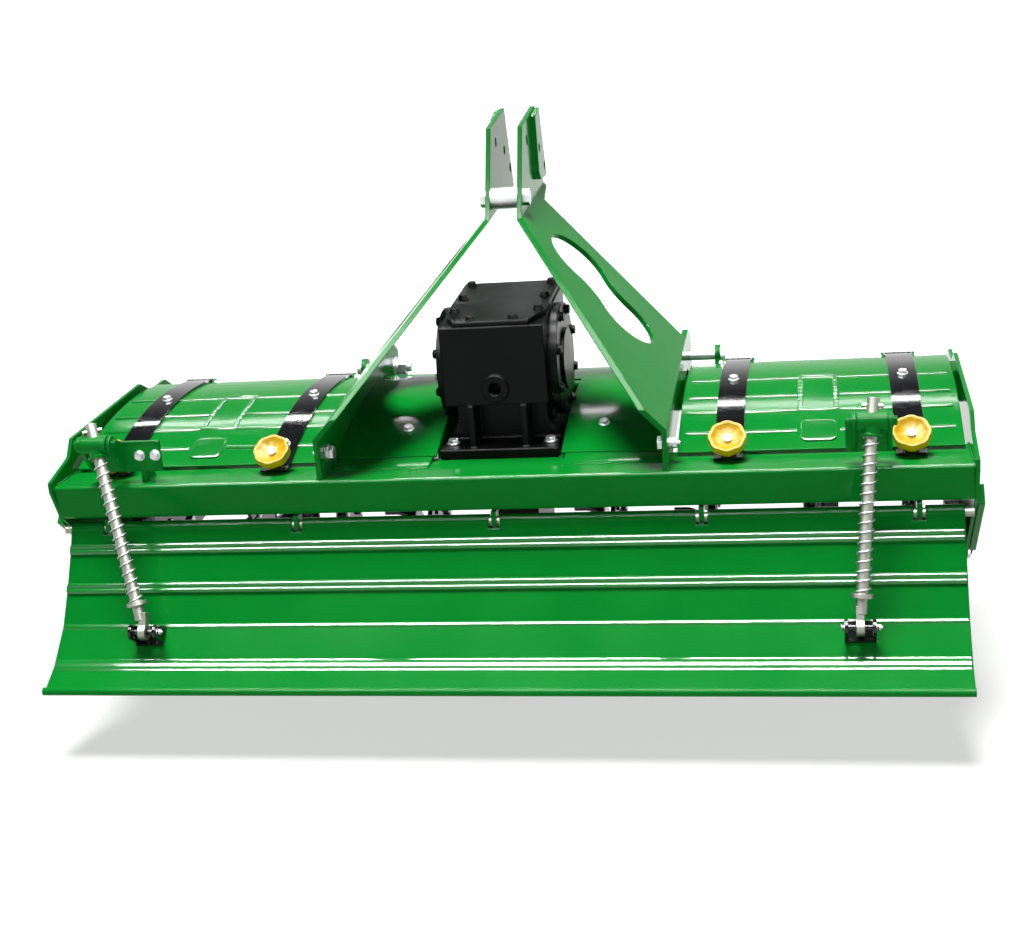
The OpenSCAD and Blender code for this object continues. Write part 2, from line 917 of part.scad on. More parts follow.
// Sloping top cover with its rear corners cut off
module gearbox_top_cover() {
    cover_t = 10;
    edge = 3;
    corner_x = 26;
    corner_y = 62;
    half = box_w / 2 - edge;
    rear = box_rear_y + edge;
    front = box_front_y - edge;
    color(black)
        placed()
            intersection() {
                translate([0, 0, deck_z])
                    linear_extrude(2 * box_top_rise)
                        polygon([
                            [-half + corner_x, rear],
                            [half - corner_x, rear],
                            [half, rear + corner_y],
                            [half, front],
                            [-half, front],
                            [-half, rear + corner_y]]);
                slab(-box_w, 2 * box_w)
                    polygon([
                        [rear - edge, box_top(rear - edge)],
                        [front + edge, box_top(front + edge)],
                        [front + edge, box_top(front + edge) + cover_t],
                        [rear - edge, box_top(rear - edge) + cover_t]]);
            }
}

// Centre of the cross shaft's round covers
cross_ahead = 4;
cross_rise = 163;
cross = [(box_rear_y + box_front_y) / 2 + cross_ahead, deck_z + cross_rise];

module gearbox_cover(side) {
    hub_r = 62;
    hub_h = 6;
    color(black)
        placed() {
            side_bar(side, cross, side_cover_r, box_w / 2, side_cover_t);
            side_bar(side, cross, hub_r, box_w / 2 + side_cover_t - cut, hub_h + cut);
        }
}

// Gear case from the bed plate down to the rotor
module drive_case() {
    top_half = 110;
    top_z = deck_z - bed_t;
    color(black)
        placed()
            difference() {
                slab(-case_half_w, 2 * case_half_w)
                    union() {
                        polygon([
                            [rotor_y - top_half, top_z],
                            tangent([rotor_y - top_half, top_z], rotor, case_r, 1),
                            tangent([rotor_y + top_half, top_z], rotor, case_r, -1),
                            [rotor_y + top_half, top_z]]);
                        translate(rotor)
                            circle(r = case_r);
                    }
                bar_x(rotor, journal_r + run, -case_half_w - cut, 2 * case_half_w + 2 * cut);
            }
}

cap_l = 28;

module input_cap() {
    cap_r = 62;
    neck_r = 42;
    color(black)
        placed()
            translate([0, box_front_y, input_z])
                rotate([-90, 0, 0])
                    difference() {
                        union() {
                            cylinder(r = cap_r, h = cap_l / 2);
                            cylinder(r = neck_r, h = cap_l);
                        }
                        translate([0, 0, -cut])
                            cylinder(r = input_r + run, h = cap_l + 2 * cut);
                    }
}

// Splined stub: a round shaft with six keyways cut from its outer end
module input_shaft() {
    spline_count = 6;
    key_w = 8;
    key_d = 3;
    color(steel)
        placed()
            translate([0, box_front_y, input_z])
                rotate([-90, 0, 0])
                    difference() {
                        cylinder(r = input_r, h = cap_l + input_l);
                        for (i = [0:spline_count - 1])
                            rotate([0, 0, i * 360 / spline_count])
                                translate([input_r - key_d, -key_w / 2, cap_l + 8])
                                    cube([2 * key_d, key_w, input_l]);
                    }
}

// A rectangle from the origin with its upper left corner rounded
module eased(w, h, r) {
    union() {
        square([w, h - r]);
        translate([r, 0])
            square([w - r, h]);
        translate([r, h - r])
            circle(r = r);
    }
}

// Bent strip of a tine in X and radius: a straight shank and a bent end
module tine_strip() {
    block_w = 3 * tine_reach;
    intersection() {
        square([tine_reach, tip_r]);
        difference() {
            eased(block_w, tine_end, tine_bend_r + tine_t);
            translate([tine_t, -cut])
                eased(block_w, tine_end - tine_t + cut, tine_bend_r);
        }
    }
}

// Sickle outline of a tine seen along the rotor axis, with its shank on the flange
module tine_sickle() {
    root = flange_r - shank_in;
    union() {
        translate([-shank_w / 2, root])
            square([shank_w, shank_in + 14]);
        intersection() {
            translate([-shank_w / 2, flange_r])
                square([shank_w / 2 + tip_lag, tip_r]);
            translate([sweep_r + shank_w / 2, flange_r + 10])
                difference() {
                    circle(r = sweep_r + shank_w);
                    circle(r = sweep_r);
                }
        }
    }
}

module tine() {
    intersection() {
        rotate([90, 0, 0])
            translate([0, 0, -tip_r])
                linear_extrude(2 * tip_r)
                    tine_strip();
        rotate([90, 0, 90])
            linear_extrude(tip_r)
                tine_sickle();
    }
}

// Half of the rotor: tube, end journals and flanges with their tines
module rotor_half(side) {
    tube_from = case_half_w + slack;
    tube_to = inner_x - bearing_l - slack;
    flange_pitch = (inner_x - flange_end_gap - flange_first_x) / (flange_count - 1);
    color(steel)
        placed() {
            side_bar(side, rotor, rotor_r, tube_from, tube_to - tube_from);
            side_bar(side, rotor, journal_r, slack / 2, inner_x - slack);
            for (i = [0:flange_count - 1])
                translate([side * (flange_first_x + i * flange_pitch), rotor_y, rotor_z])
                    rotate([i * 360 / tine_count / flange_count, 0, 0])
                        tine_flange();
        }
}

module tine_flange() {
    translate([-flange_t / 2, 0, 0])
        rotate([0, 90, 0])
            cylinder(r = flange_r, h = flange_t);
    for (k = [0:tine_count - 1])
        rotate([k * 360 / tine_count, 0, 0])
            mirror([k % 2, 0, 0])
                translate([flange_t / 2 - tine_t / 2, 0, 0])
                    tine();
}

module tail_hinge_rod() {
    color(steel)
        placed()
            bar_x(tail_hinge, tail_rod_r, -inner_x, 2 * inner_x);
}

// Curved rear board, with its top edge rolled round the hinge rod between the lugs
module tail_board() {
    lug_gap = 6;
    lug_room = tail_lug_t + 2 * lug_gap;
    color(green)
        placed()
            difference() {
                union() {
                    slab(-tail_w / 2, tail_w)
                        folded(tail_path, tail_t);
                    bar_x(tail_hinge, tail_roll_r, -tail_w / 2, tail_w);
                    bar_x(hem, hem_r, -tail_w / 2, tail_w);
                }
                bar_x(tail_hinge, tail_rod_r + skin, -tail_w, 2 * tail_w);
                for (x = tail_lug_xs)
                    bar_x(tail_hinge, tail_roll_r + lug_gap, x - lug_room / 2, lug_room);
            }
}

// Clevis on the tail board that holds a rod's eye
module tail_clevis(side) {
    ear_t = 6;
    base_t = 6;
    ear_r = 15;
    base_half = 20;
    shoulder = 4;
    pin_out = 4;
    out_w = clevis_gap + 2 * ear_t;
    seat_back = 7;
    from = tail_hinge + tail_bends[3];
    along = unit(tail_bends[4] - tail_bends[3]);
    out = -left_of(along);
    seat = from + ((clevis_pin - from) * along - seat_back) * along;
    color(black)
        placed() {
            slab(side * clevis_x - out_w / 2, out_w)
                polygon([
                    seat - base_half * along,
                    seat + base_half * along,
                    seat + base_half * along + base_t * out,
                    seat - base_half * along + base_t * out]);
            for (x = [-out_w / 2, clevis_gap / 2])
                slab(side * clevis_x + x, ear_t)
                    union() {
                        polygon([
                            seat - (base_half - shoulder) * along + base_t / 2 * out,
                            seat + (base_half - shoulder) * along + base_t / 2 * out,
                            clevis_pin + (ear_r - nip) * along,
                            clevis_pin - (ear_r - nip) * along]);
                        translate(clevis_pin)
                            circle(r = ear_r);
                    }
            bar_x(clevis_pin, clevis_pin_r, side * clevis_x - out_w / 2 - pin_out, out_w + 2 * pin_out);
        }
}

function sleeve_x(side) = side > 0 ? inner_x - sleeve_right_in : sleeve_left_in - inner_x;
function rod_foot(side) = [side * clevis_x, clevis_pin[0], clevis_pin[1]];
function rod_pass(side) = [sleeve_x(side), sleeve_pin[0], sleeve_pin[1]];
function rod_span(side) = norm(rod_pass(side) - rod_foot(side));

// Children drawn along a rod, from its eye at the origin towards its sleeve
module along_rod(side) {
    d = unit(rod_pass(side) - rod_foot(side));
    translate(rod_foot(side))
        rotate([0, acos(d[2]), atan2(d[1], d[0])])
            children();
}

sleeve_half = 18;
sleeve_wall = 5;
seat_rim = 4;
seat_r = coil_r + seat_rim;
seat_low = 28;
seat_h = 5;
bracket_gap = 56;
bracket_ear_t = 8;
pivot_r = 8;
collar_at = 52;
collar_h = 8;
collar_rim = 3.5;
collar_r = coil_r + collar_rim;

// Face plate on the rear beam with a gusset behind it and two ears for the sleeve
module rod_bracket(side) {
    plate_y = 4;
    plate_t = 8;
    plate_side = 40;
    low_rise = 22;
    high_rise = sleeve_rise - 6;
    gusset_t = 10;
    gusset_y = 50;
    gusset_x = side * (inner_x - gusset_in);
    ear_r = 16;
    x = sleeve_x(side);
    ear_out = bracket_gap / 2 + bracket_ear_t;
    plate_from = min(x - ear_out, gusset_x - plate_side);
    plate_to = max(x + ear_out, gusset_x + plate_side);
    color(green)
        placed() {
            translate([plate_from, plate_y, deck_z + low_rise])
                cube([plate_to - plate_from, plate_t, high_rise - low_rise]);
            slab(gusset_x - gusset_t / 2, gusset_t)
                polygon([
                    [plate_y, deck_z],
                    [gusset_y, deck_z],
                    [plate_y + plate_t, deck_z + high_rise],
                    [plate_y, deck_z + high_rise]]);
            for (e = [x - ear_out, x + bracket_gap / 2])
                difference() {
                    slab(e, bracket_ear_t)
                        union() {
                            polygon([
                                [plate_y + 1, deck_z + low_rise],
                                [plate_y + 1, deck_z + high_rise],
                                [sleeve_pin[0], sleeve_pin[1] + ear_r - nip],
                                [sleeve_pin[0], sleeve_pin[1] - ear_r + nip]]);
                            translate(sleeve_pin)
                                circle(r = ear_r);
                        }
                    bar_x(sleeve_pin, pivot_r + run, e - cut, bracket_ear_t + 2 * cut);
                }
        }
}

// Block that swings between the bracket's ears, with the spring's seat under it
module sleeve(side) {
    x = sleeve_x(side);
    color(green)
        placed()
            difference() {
                union() {
                    bar_x(sleeve_pin, sleeve_half, x - bracket_gap / 2 + slack, bracket_gap - 2 * slack);
                    bar_x(sleeve_pin, pivot_r, x - bracket_gap / 2 - bracket_ear_t,
                        bracket_gap + 2 * bracket_ear_t);
                    along_rod(side)
                        translate([0, 0, rod_span(side) - seat_low]) {
                            cylinder(r = seat_r, h = seat_h);
                            cylinder(r = rod_r + sleeve_wall, h = seat_low);
                        }
                }
                along_rod(side)
                    cylinder(r = rod_r + skin, h = 2 * rod_span(side));
            }
}

module rod(side) {
    rod_over = 42;
    top = rod_span(side) + rod_over;
    stop_r = 4;
    stop_out = 8;
    stop_l = 2 * (rod_r + stop_out);
    stop_gap = 6;
    stop_at = rod_span(side) + sleeve_half + stop_r + stop_gap;
    tang_l = 24;
    tang_lap = 14;
    tang_in = 2;
    tang_half = rod_r - tang_in;
    up = unit(sleeve_pin - clevis_pin);
    across = left_of(up);
    color(steel)
        placed()
            difference() {
                union() {
                    along_rod(side) {
                        translate([0, 0, tang_l])
                            cylinder(r = rod_r, h = top - tang_l);
                        translate([0, 0, collar_at])
                            cylinder(r = collar_r, h = collar_h);
                        translate([0, -stop_l / 2, stop_at])
                            rotate([-90, 0, 0])
                                cylinder(r = stop_r, h = stop_l, $fn = small_fn);
                    }
                    bar_x(clevis_pin, eye_r, side * clevis_x - eye_w / 2, eye_w);
                    slab(side * clevis_x - eye_w / 2, eye_w)
                        polygon([
                            clevis_pin - tang_half * across,
                            clevis_pin + tang_half * across,
                            clevis_pin + tang_half * across + (tang_l + tang_lap) * up,
                            clevis_pin - tang_half * across + (tang_l + tang_lap) * up]);
                }
                bar_x(clevis_pin, clevis_pin_r + eye_slack, side * clevis_x - eye_w, 2 * eye_w);
            }
}

// Coil spring on a rod, between its collar and the sleeve
module spring(side) {
    low = collar_at + collar_h + wire_r + skin;
    high = rod_span(side) - seat_low - wire_r - skin;
    steps = 10;
    sides = 6;
    rings = coil_turns * steps;
    points = [
        for (i = [0:rings], k = [0:sides - 1])
            let (a = i * 360 / steps)
            let (b = k * 360 / sides)
            let (r = coil_r + wire_r * cos(b))
            [r * cos(a), r * sin(a), low + (high - low) * i / rings + wire_r * sin(b)]];
    faces = concat(
        [[for (k = [0:sides - 1]) k]],
        [for (i = [0:rings - 1], k = [0:sides - 1])
            let (n = (k + 1) % sides)
            [i * sides + k, (i + 1) * sides + k, (i + 1) * sides + n, i * sides + n]],
        [[for (k = [sides - 1:-1:0]) rings * sides + k]]);
    color(zinc)
        placed()
            along_rod(side)
                polyhedron(points, faces);
}

ear_side_gap = 1;
hinge_ear_t = 6;

// Ears and pins on the front beam that carry a cover's straps
module lid_hinges(side) {
    foot_out = 10;
    color(green)
        placed()
            for (x = strap_xs) {
                for (e = [x - strap_w / 2 - ear_side_gap - hinge_ear_t, x + strap_w / 2 + ear_side_gap])
                    side_slab(side, e, hinge_ear_t)
                        union() {
                            translate([hinge[0] - knuckle_r, front_top_z])
                                square([2 * knuckle_r + foot_out, hinge[1] - front_top_z]);
                            translate(hinge)
                                circle(r = knuckle_r);
                        }
                side_bar(side, hinge, hinge_pin_r, x - strap_w / 2 - ear_side_gap - nip,
                    strap_w + 2 * ear_side_gap + 2 * nip);
            }
}

module cover(side) {
    color(green)
        placed()
            side_slab(side, cover_in_x, cover_out_x - cover_in_x)
                arch_strip(-sheet_t, 0, hood_rear_y, hood_front_y);
}

// Children drawn on the seat of the knob at x, square to its strap
module on_seat(side, x) {
    translate([side * x, knob_y, seat_z])
        rotate([knob_lean, 0, 0])
            children();
}

// Straps over a cover, from the hinge knuckle to the fork round the knob's stud
module straps(side) {
    fork_gap = 1.5;
    fork_l = 28;
    fold_l = 5;
    fork_y = knob_y - fork_l;
    fold_y = knob_y - fold_l;
    knuckle_lap = 6;
    slot_r = stud_r + 1;
    slot_l = 2 * strap_w;
    slot_h = 4 * strap_t;
    color(black)
        placed()
            for (x = strap_xs)
                difference() {
                    union() {
                        side_slab(side, x - strap_w / 2, strap_w)
                            union() {
                                arch_strip(strap_lift, strap_lift + strap_t,
                                    fold_y + nip, hinge_y - knuckle_lap);
                                polygon([
                                    [fork_y, deck_z + fork_gap],
                                    [fold_y, deck_z + fork_gap],
                                    [knob_y, arch_z(knob_y, strap_lift + nip)],
                                    [fold_y + 2 * nip, arch_z(fold_y + 2 * nip, strap_lift + strap_t - nip)],
                                    [fork_y, deck_z + fork_gap + strap_t]]);
                            }
                        side_bar(side, hinge, knuckle_r, x - strap_w / 2, strap_w);
                    }
                    side_bar(side, hinge, hinge_pin_r + skin, x - strap_w, 2 * strap_w);
                    on_seat(side, x) {
                        translate([0, 0, -strap_lift])
                            cylinder(r = hub_r + slack, h = slot_h);
                        translate([0, 0, -slot_h / 2])
                            cylinder(r = slot_r, h = slot_h);
                        translate([-slot_r, -slot_l, -slot_h / 2])
                            cube([2 * slot_r, slot_l, slot_h]);
                    }
                }
}

// Lobed and dished knobs on their hubs, with their studs and screws
module knobs(side) {
    lobes = 8;
    lobe_r = 9;
    lobe_out = 1.5;
    rim_w = 7;
    dish_r = knob_r - rim_w;
    dish_low_r = 15;
    dish_d = 11;
    screw_r = 6;
    screw_h = 4;
    color(yellow)
        placed()
            for (x = strap_xs)
                on_seat(side, x)
                    union() {
                        difference() {
                            translate([0, 0, hub_h])
                                linear_extrude(knob_h)
                                    union() {
                                        circle(r = knob_r - lobe_out);
                                        for (i = [0:lobes - 1])
                                            rotate(i * 360 / lobes)
                                                translate([knob_r - lobe_r, 0])
                                                    circle(r = lobe_r);
                                    }
                            translate([0, 0, hub_h + knob_h - dish_d])
                                cylinder(r1 = dish_low_r, r2 = dish_r, h = dish_d + skin);
                        }
                        cylinder(r = hub_r, h = hub_h + nip);
                        translate([0, 0, hub_h + knob_h - dish_d - nip])
                            cylinder(r = screw_r, h = screw_h + nip);
                        translate([0, 0, -stud_l])
                            cylinder(r = stud_r, h = stud_l + nip);
                    }
}

rear_beam();
front_beam();
bed_plate();
side_plate(-1);  // side_plate_left
side_plate(1);  // side_plate_right
center_deck();
skid(-1);  // skid_left
skid(1);  // skid_right
bearing(-1);  // bearing_left
bearing(1);  // bearing_right
mast(-1);  // mast_left
mast(1);  // mast_right
mast_spacer();
hitch_plate(-1);  // hitch_plate_left
hitch_plate(1);  // hitch_plate_right
hitch_pin(-1);  // hitch_pin_left
hitch_pin(1);  // hitch_pin_right
gearbox_housing();
gearbox_top_cover();
gearbox_cover(-1);  // gearbox_cover_left
gearbox_cover(1);  // gearbox_cover_right
drive_case();
input_cap();
input_shaft();
rotor_half(-1);  // rotor_left
rotor_half(1);  // rotor_right
tail_hinge_rod();
tail_board();
tail_clevis(-1);  // tail_clevis_left
tail_clevis(1);  // tail_clevis_right
rod_bracket(-1);  // rod_bracket_left
rod_bracket(1);  // rod_bracket_right
sleeve(-1);  // sleeve_left
sleeve(1);  // sleeve_right
rod(-1);  // rod_left
rod(1);  // rod_right
spring(-1);  // spring_left
spring(1);  // spring_right
lid_hinges(-1);  // lid_hinges_left
lid_hinges(1);  // lid_hinges_right
cover(-1);  // cover_left
cover(1);  // cover_right
straps(-1);  // straps_left
straps(1);  // straps_right
knobs(-1);  // knobs_left
knobs(1);  // knobs_right
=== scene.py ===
"""Looks of a rotary tiller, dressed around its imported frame.

Every size is in metres, and places are given in millimetres from the drawing's zero point:
the rear top edge of the rear beam, in the middle of the machine.
"""

import json
import math

import bmesh
import bpy
from bpy.props import FloatProperty, FloatVectorProperty, IntProperty, PointerProperty
from mathutils import Matrix, Vector


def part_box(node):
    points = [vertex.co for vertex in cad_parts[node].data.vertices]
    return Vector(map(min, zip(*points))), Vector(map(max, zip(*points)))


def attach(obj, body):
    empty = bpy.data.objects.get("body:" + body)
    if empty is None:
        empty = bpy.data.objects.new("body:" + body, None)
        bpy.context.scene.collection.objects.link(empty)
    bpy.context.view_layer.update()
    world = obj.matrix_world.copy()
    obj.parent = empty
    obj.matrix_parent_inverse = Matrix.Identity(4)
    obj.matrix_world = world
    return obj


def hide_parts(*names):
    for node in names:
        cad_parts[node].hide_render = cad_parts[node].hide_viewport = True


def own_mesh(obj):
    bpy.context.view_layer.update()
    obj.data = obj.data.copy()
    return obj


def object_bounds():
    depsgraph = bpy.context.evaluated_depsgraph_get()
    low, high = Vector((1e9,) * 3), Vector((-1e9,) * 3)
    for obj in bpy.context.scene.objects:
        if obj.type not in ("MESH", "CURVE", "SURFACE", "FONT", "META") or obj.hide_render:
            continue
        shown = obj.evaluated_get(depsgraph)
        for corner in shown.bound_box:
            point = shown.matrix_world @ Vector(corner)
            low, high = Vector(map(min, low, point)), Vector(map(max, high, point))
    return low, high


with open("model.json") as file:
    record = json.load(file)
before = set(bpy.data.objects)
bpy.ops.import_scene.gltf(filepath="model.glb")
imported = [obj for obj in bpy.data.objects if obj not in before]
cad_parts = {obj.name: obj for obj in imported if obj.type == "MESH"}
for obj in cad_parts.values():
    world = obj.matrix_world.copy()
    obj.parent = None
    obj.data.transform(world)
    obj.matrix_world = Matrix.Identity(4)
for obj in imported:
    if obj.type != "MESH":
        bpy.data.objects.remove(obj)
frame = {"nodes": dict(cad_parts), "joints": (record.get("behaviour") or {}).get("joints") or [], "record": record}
CAD_BOX = [list(corner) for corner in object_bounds()]

bl_info = {
    "name": "Rotary tiller looks",
    "version": (1, 0, 0),
    "blender": (4, 5, 0),
    "location": "3D View > Sidebar > Tiller",
    "description": "Paint, fasteners, springs, knobs, pressings, welds and stage of a rotary tiller",
    "category": "Object",
}

MM = 0.001
SIDES = {"left": -1, "right": 1}
# Millimetres of the drawing: the beams, the arch of the hood, its straps and the plates of the mast
BEAM_DEPTH, FRONT_TOP_RISE = 120, 40
CREST_Y, CREST_RISE, HOOD_R = 430, 80, 886.7
STRAP_TOP, STRAP_HALF = 5.2, 27.5
MAST_X, MAST_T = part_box("mast_right")[1].x / MM, 10
ZERO = Vector((0.0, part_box("bed_plate")[0].y - BEAM_DEPTH * MM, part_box("gearbox_housing")[0].z))
# How close two heights lie when they count as one
NEAR = 1e-6


def at(x, y, rise):
    """Point given in millimetres from the drawing's zero point."""
    return ZERO + Vector((x, y, rise)) * MM


def hood_rise(y, lift=0):
    """Rise of the covers' outer face, or of a face that lies higher by a lift."""
    return CREST_RISE - HOOD_R + math.sqrt((HOOD_R + lift) ** 2 - (y - CREST_Y) ** 2)


def hood_out(y, lift=0):
    """Outward direction of that face."""
    return Vector((0, y - CREST_Y, hood_rise(y, lift) - CREST_RISE + HOOD_R)).normalized()


def linear(code):
    """Linear colour of an sRGB hex value."""
    shares = [int(code[i:i + 2], 16) / 255 for i in (0, 2, 4)]
    return [s / 12.92 if s <= 0.04045 else ((s + 0.055) / 1.055) ** 2.4 for s in shares] + [1.0]


# Sizes and colours


class PaintSettings(bpy.types.PropertyGroup):
    """Colours of the finishes"""

    green: FloatVectorProperty(
        name="Green enamel", description="Colour of the frame, covers and tail board",
        subtype="COLOR", size=4, default=linear("078A2C"))
    black: FloatVectorProperty(
        name="Black paint", description="Colour of the straps, clevises and rotor",
        subtype="COLOR", size=4, default=linear("131416"))
    casting: FloatVectorProperty(
        name="Painted casting", description="Colour of the gearbox",
        subtype="COLOR", size=4, default=linear("090A0B"))
    zinc: FloatVectorProperty(
        name="Zinc plate", description="Colour of bolts, nuts and springs",
        subtype="COLOR", size=4, default=linear("B6BABA"))
    steel: FloatVectorProperty(
        name="Drawn steel", description="Colour of the rods and shafts",
        subtype="COLOR", size=4, default=linear("888B82"))
    yellow: FloatVectorProperty(
        name="Yellow plastic", description="Colour of the clamp knobs",
        subtype="COLOR", size=4, default=linear("E6B60A"))


class FastenerSettings(bpy.types.PropertyGroup):
    """Thread diameters"""

    small: FloatProperty(
        name="Small thread", description="Bolts of covers, deck, bearings, sleeves and clevises",
        default=10 * MM, unit="LENGTH")
    medium: FloatProperty(
        name="Medium thread", description="Bolts of the gearbox foot and the tines",
        default=12 * MM, unit="LENGTH")
    large: FloatProperty(
        name="Large thread", description="Bolts of the mast", default=16 * MM, unit="LENGTH")
    hitch: FloatProperty(
        name="Hitch thread", description="Nuts on the lower hitch pins",
        default=22 * MM, unit="LENGTH")


class SpringSettings(bpy.types.PropertyGroup):
    """Springs on the tail board's rods"""

    coil: FloatProperty(
        name="Coil radius", description="From the rod's axis to the wire's middle",
        default=13.4 * MM, unit="LENGTH")
    wire: FloatProperty(
        name="Wire radius", description="Radius of the spring wire", default=1.4 * MM, unit="LENGTH")
    turns: IntProperty(name="Turns", description="Turns of each spring", default=16, min=4)
    seat: FloatProperty(
        name="Seat distance", description="From the sleeve's pivot down to the spring's upper end",
        default=28.3 * MM, unit="LENGTH")
    collar: FloatProperty(
        name="Collar distance", description="From the rod's eye up to the spring's lower end",
        default=60.3 * MM, unit="LENGTH")


class KnobSettings(bpy.types.PropertyGroup):
    """Clamp knobs of the covers"""

    radius: FloatProperty(
        name="Knob radius", description="Radius over the lobes", default=37 * MM, unit="LENGTH")
    head: FloatProperty(
        name="Head height", description="Thickness of the lobed head", default=20 * MM, unit="LENGTH")
    neck: FloatProperty(
        name="Neck height", description="From the strap up to the head", default=28 * MM, unit="LENGTH")
    stud: FloatProperty(
        name="Stud length", description="How far the stud goes down through the strap",
        default=22 * MM, unit="LENGTH")


class PressSettings(bpy.types.PropertyGroup):
    """Beads and panels pressed into the covers"""

    bead_width: FloatProperty(
        name="Bead width", description="Width of a pressed bead", default=11 * MM, unit="LENGTH")
    bead_height: FloatProperty(
        name="Bead height", description="How far a bead stands out", default=3.2 * MM, unit="LENGTH")
    panel_height: FloatProperty(
        name="Panel height", description="How far a pressed panel stands out",
        default=4 * MM, unit="LENGTH")


class StageSettings(bpy.types.PropertyGroup):
    """Floor, light and camera"""

    floor: FloatVectorProperty(
        name="Floor", description="Colour of the floor", subtype="COLOR", size=4,
        default=linear("B4B4B2"))
    key: FloatProperty(
        name="Key light", description="Strength of the broad light overhead", default=4.5)
    strip: FloatProperty(
        name="Strip lights", description="Power of each long light that only gloss shows",
        default=460.0, unit="POWER")
    lens: FloatProperty(
        name="Lens", description="Focal length on a 36 mm wide sensor", default=56.2)


# Modelling helpers


def joint(name):
    """A joint of the frame by its name."""
    return next(j for j in frame["joints"] if j["name"] == name)


def box_middle(node):
    """Middle of a node's box."""
    low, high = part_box(node)
    return (low + high) / 2


def rod_line(side):
    """Pivot of a rod's sleeve, the rod's upward direction and the way down to the rod's eye."""
    pivot = Vector(joint(f"{side}_sleeve_swing")["pos_m"])
    up = Vector(joint(f"{side}_rod_slide")["axis"])
    return pivot, up, (pivot.x - box_middle(f"tail_clevis_{side}").x) / up.x


def circle(hub, radius, angles, level):
    """Points on an upright circle about a hub, at angles in degrees from a level direction."""
    upright = Vector((0, 0, 1))
    return [hub + radius * (math.cos(a) * Vector(level) + math.sin(a) * upright)
            for a in map(math.radians, angles)]


def fresh(name, primitive, **settings):
    """A new primitive with nothing else selected, under its own name."""
    bpy.ops.object.select_all(action="DESELECT")
    primitive(**settings)
    piece = bpy.context.object
    piece.name = piece.data.name = name
    return piece


def only(piece):
    """Selects one piece alone and makes it the active one."""
    bpy.ops.object.select_all(action="DESELECT")
    piece.select_set(True)
    bpy.context.view_layer.objects.active = piece


def pick(piece, kind, test):
    """Selects the faces, edges or corners, in edit mode, that pass a test."""
    bpy.ops.mesh.select_mode(type=kind)
    bpy.ops.mesh.select_all(action="DESELECT")
    mesh = bmesh.from_edit_mesh(piece.data)
    mesh.normal_update()
    for element in {"FACE": mesh.faces, "EDGE": mesh.edges, "VERT": mesh.verts}[kind]:
        if test(element):
            element.select_set(True)
    mesh.select_flush_mode()
    bmesh.update_edit_mesh(piece.data)


def middle(element):
    """Middle of a face or edge."""
    return sum((v.co for v in element.verts), Vector()) / len(element.verts)


def rim(height):
    """Test for edges that lie flat at a height."""
    return lambda e: all(abs(v.co.z - height) < NEAR for v in e.verts)


def bevelled(piece, test, offset, segments):
    """Bevels the edges, in edit mode, that pass a test."""
    pick(piece, "EDGE", test)
    bpy.ops.mesh.bevel(offset=offset, segments=segments, affect="EDGES")


def settle(piece):
    """Moves a piece's place, turn and size into its mesh."""
    only(piece)
    bpy.ops.object.transform_apply(location=True, rotation=True, scale=True)


def fused(name, pieces):
    """One piece made of several."""
    bpy.ops.object.select_all(action="DESELECT")
    for piece in pieces:
        piece.select_set(True)
    bpy.context.view_layer.objects.active = pieces[0]
    if len(pieces) > 1:
        bpy.ops.object.join()
    whole = bpy.context.object
    whole.name = whole.data.name = name
    settle(whole)
    return whole


def dressed(piece, body, slot, smooth=35, finish=None):
    """Gives a finished piece its body, its finish and smooth round faces."""
    only(piece)
    bpy.ops.object.shade_smooth_by_angle(angle=math.radians(smooth))
    piece.data.materials.clear()
    piece.data.materials.append(bpy.data.materials[finish or FINISH[slot]])
    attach(piece, body)
    return piece


def copies(name, master, places):
    """Copies of a piece, each at (point, direction of its Z axis, size), joined under one name."""
    made = []
    for point, direction, size in places:
        only(master)
        bpy.ops.object.duplicate()
        piece = bpy.context.object
        turn = Vector(direction).to_track_quat("Z", "Y")
        piece.matrix_world = Matrix.LocRotScale(point, turn, (size, size, size))
        made.append(piece)
    return fused(name, made)


def bar(name, size, ease):
    """A straight bar on the XY plane whose upper edges are eased."""
    height = size[2]
    piece = fresh(name, bpy.ops.mesh.primitive_cube_add, size=1, location=(0, 0, height / 2), scale=size)
    settle(piece)
    bpy.ops.object.mode_set(mode="EDIT")
    bevelled(piece, rim(height), ease, 3)
    bpy.ops.object.mode_set(mode="OBJECT")
    return piece


# Fasteners, modelled once for one thread and sized from it


MODEL_THREAD = 10 * MM
WASHER_R, HEX_R = 11 * MM, 9.2 * MM


def bolt_head():
    """Hexagon head with a chamfered top on a flat washer."""
    washer_t, head_t = 2 * MM, 6.4 * MM
    top = washer_t + head_t
    washer_ease, chamfer = 0.5 * MM, 1.1 * MM
    dish_edge, dish_depth = 1.2 * MM, 0.4 * MM
    piece = fresh("bolt_head", bpy.ops.mesh.primitive_cylinder_add, vertices=24, radius=WASHER_R,
                  depth=washer_t, location=(0, 0, washer_t / 2))
    settle(piece)
    bpy.ops.object.mode_set(mode="EDIT")
    bevelled(piece, rim(washer_t), washer_ease, 2)
    bpy.ops.mesh.primitive_cylinder_add(vertices=6, radius=HEX_R, depth=head_t,
                                        location=(0, 0, washer_t + head_t / 2))
    bevelled(piece, rim(top), chamfer, 2)
    pick(piece, "FACE", lambda f: middle(f).z > top - NEAR)
    bpy.ops.mesh.inset(thickness=dish_edge, depth=-dish_depth)
    bpy.ops.object.mode_set(mode="OBJECT")
    return piece


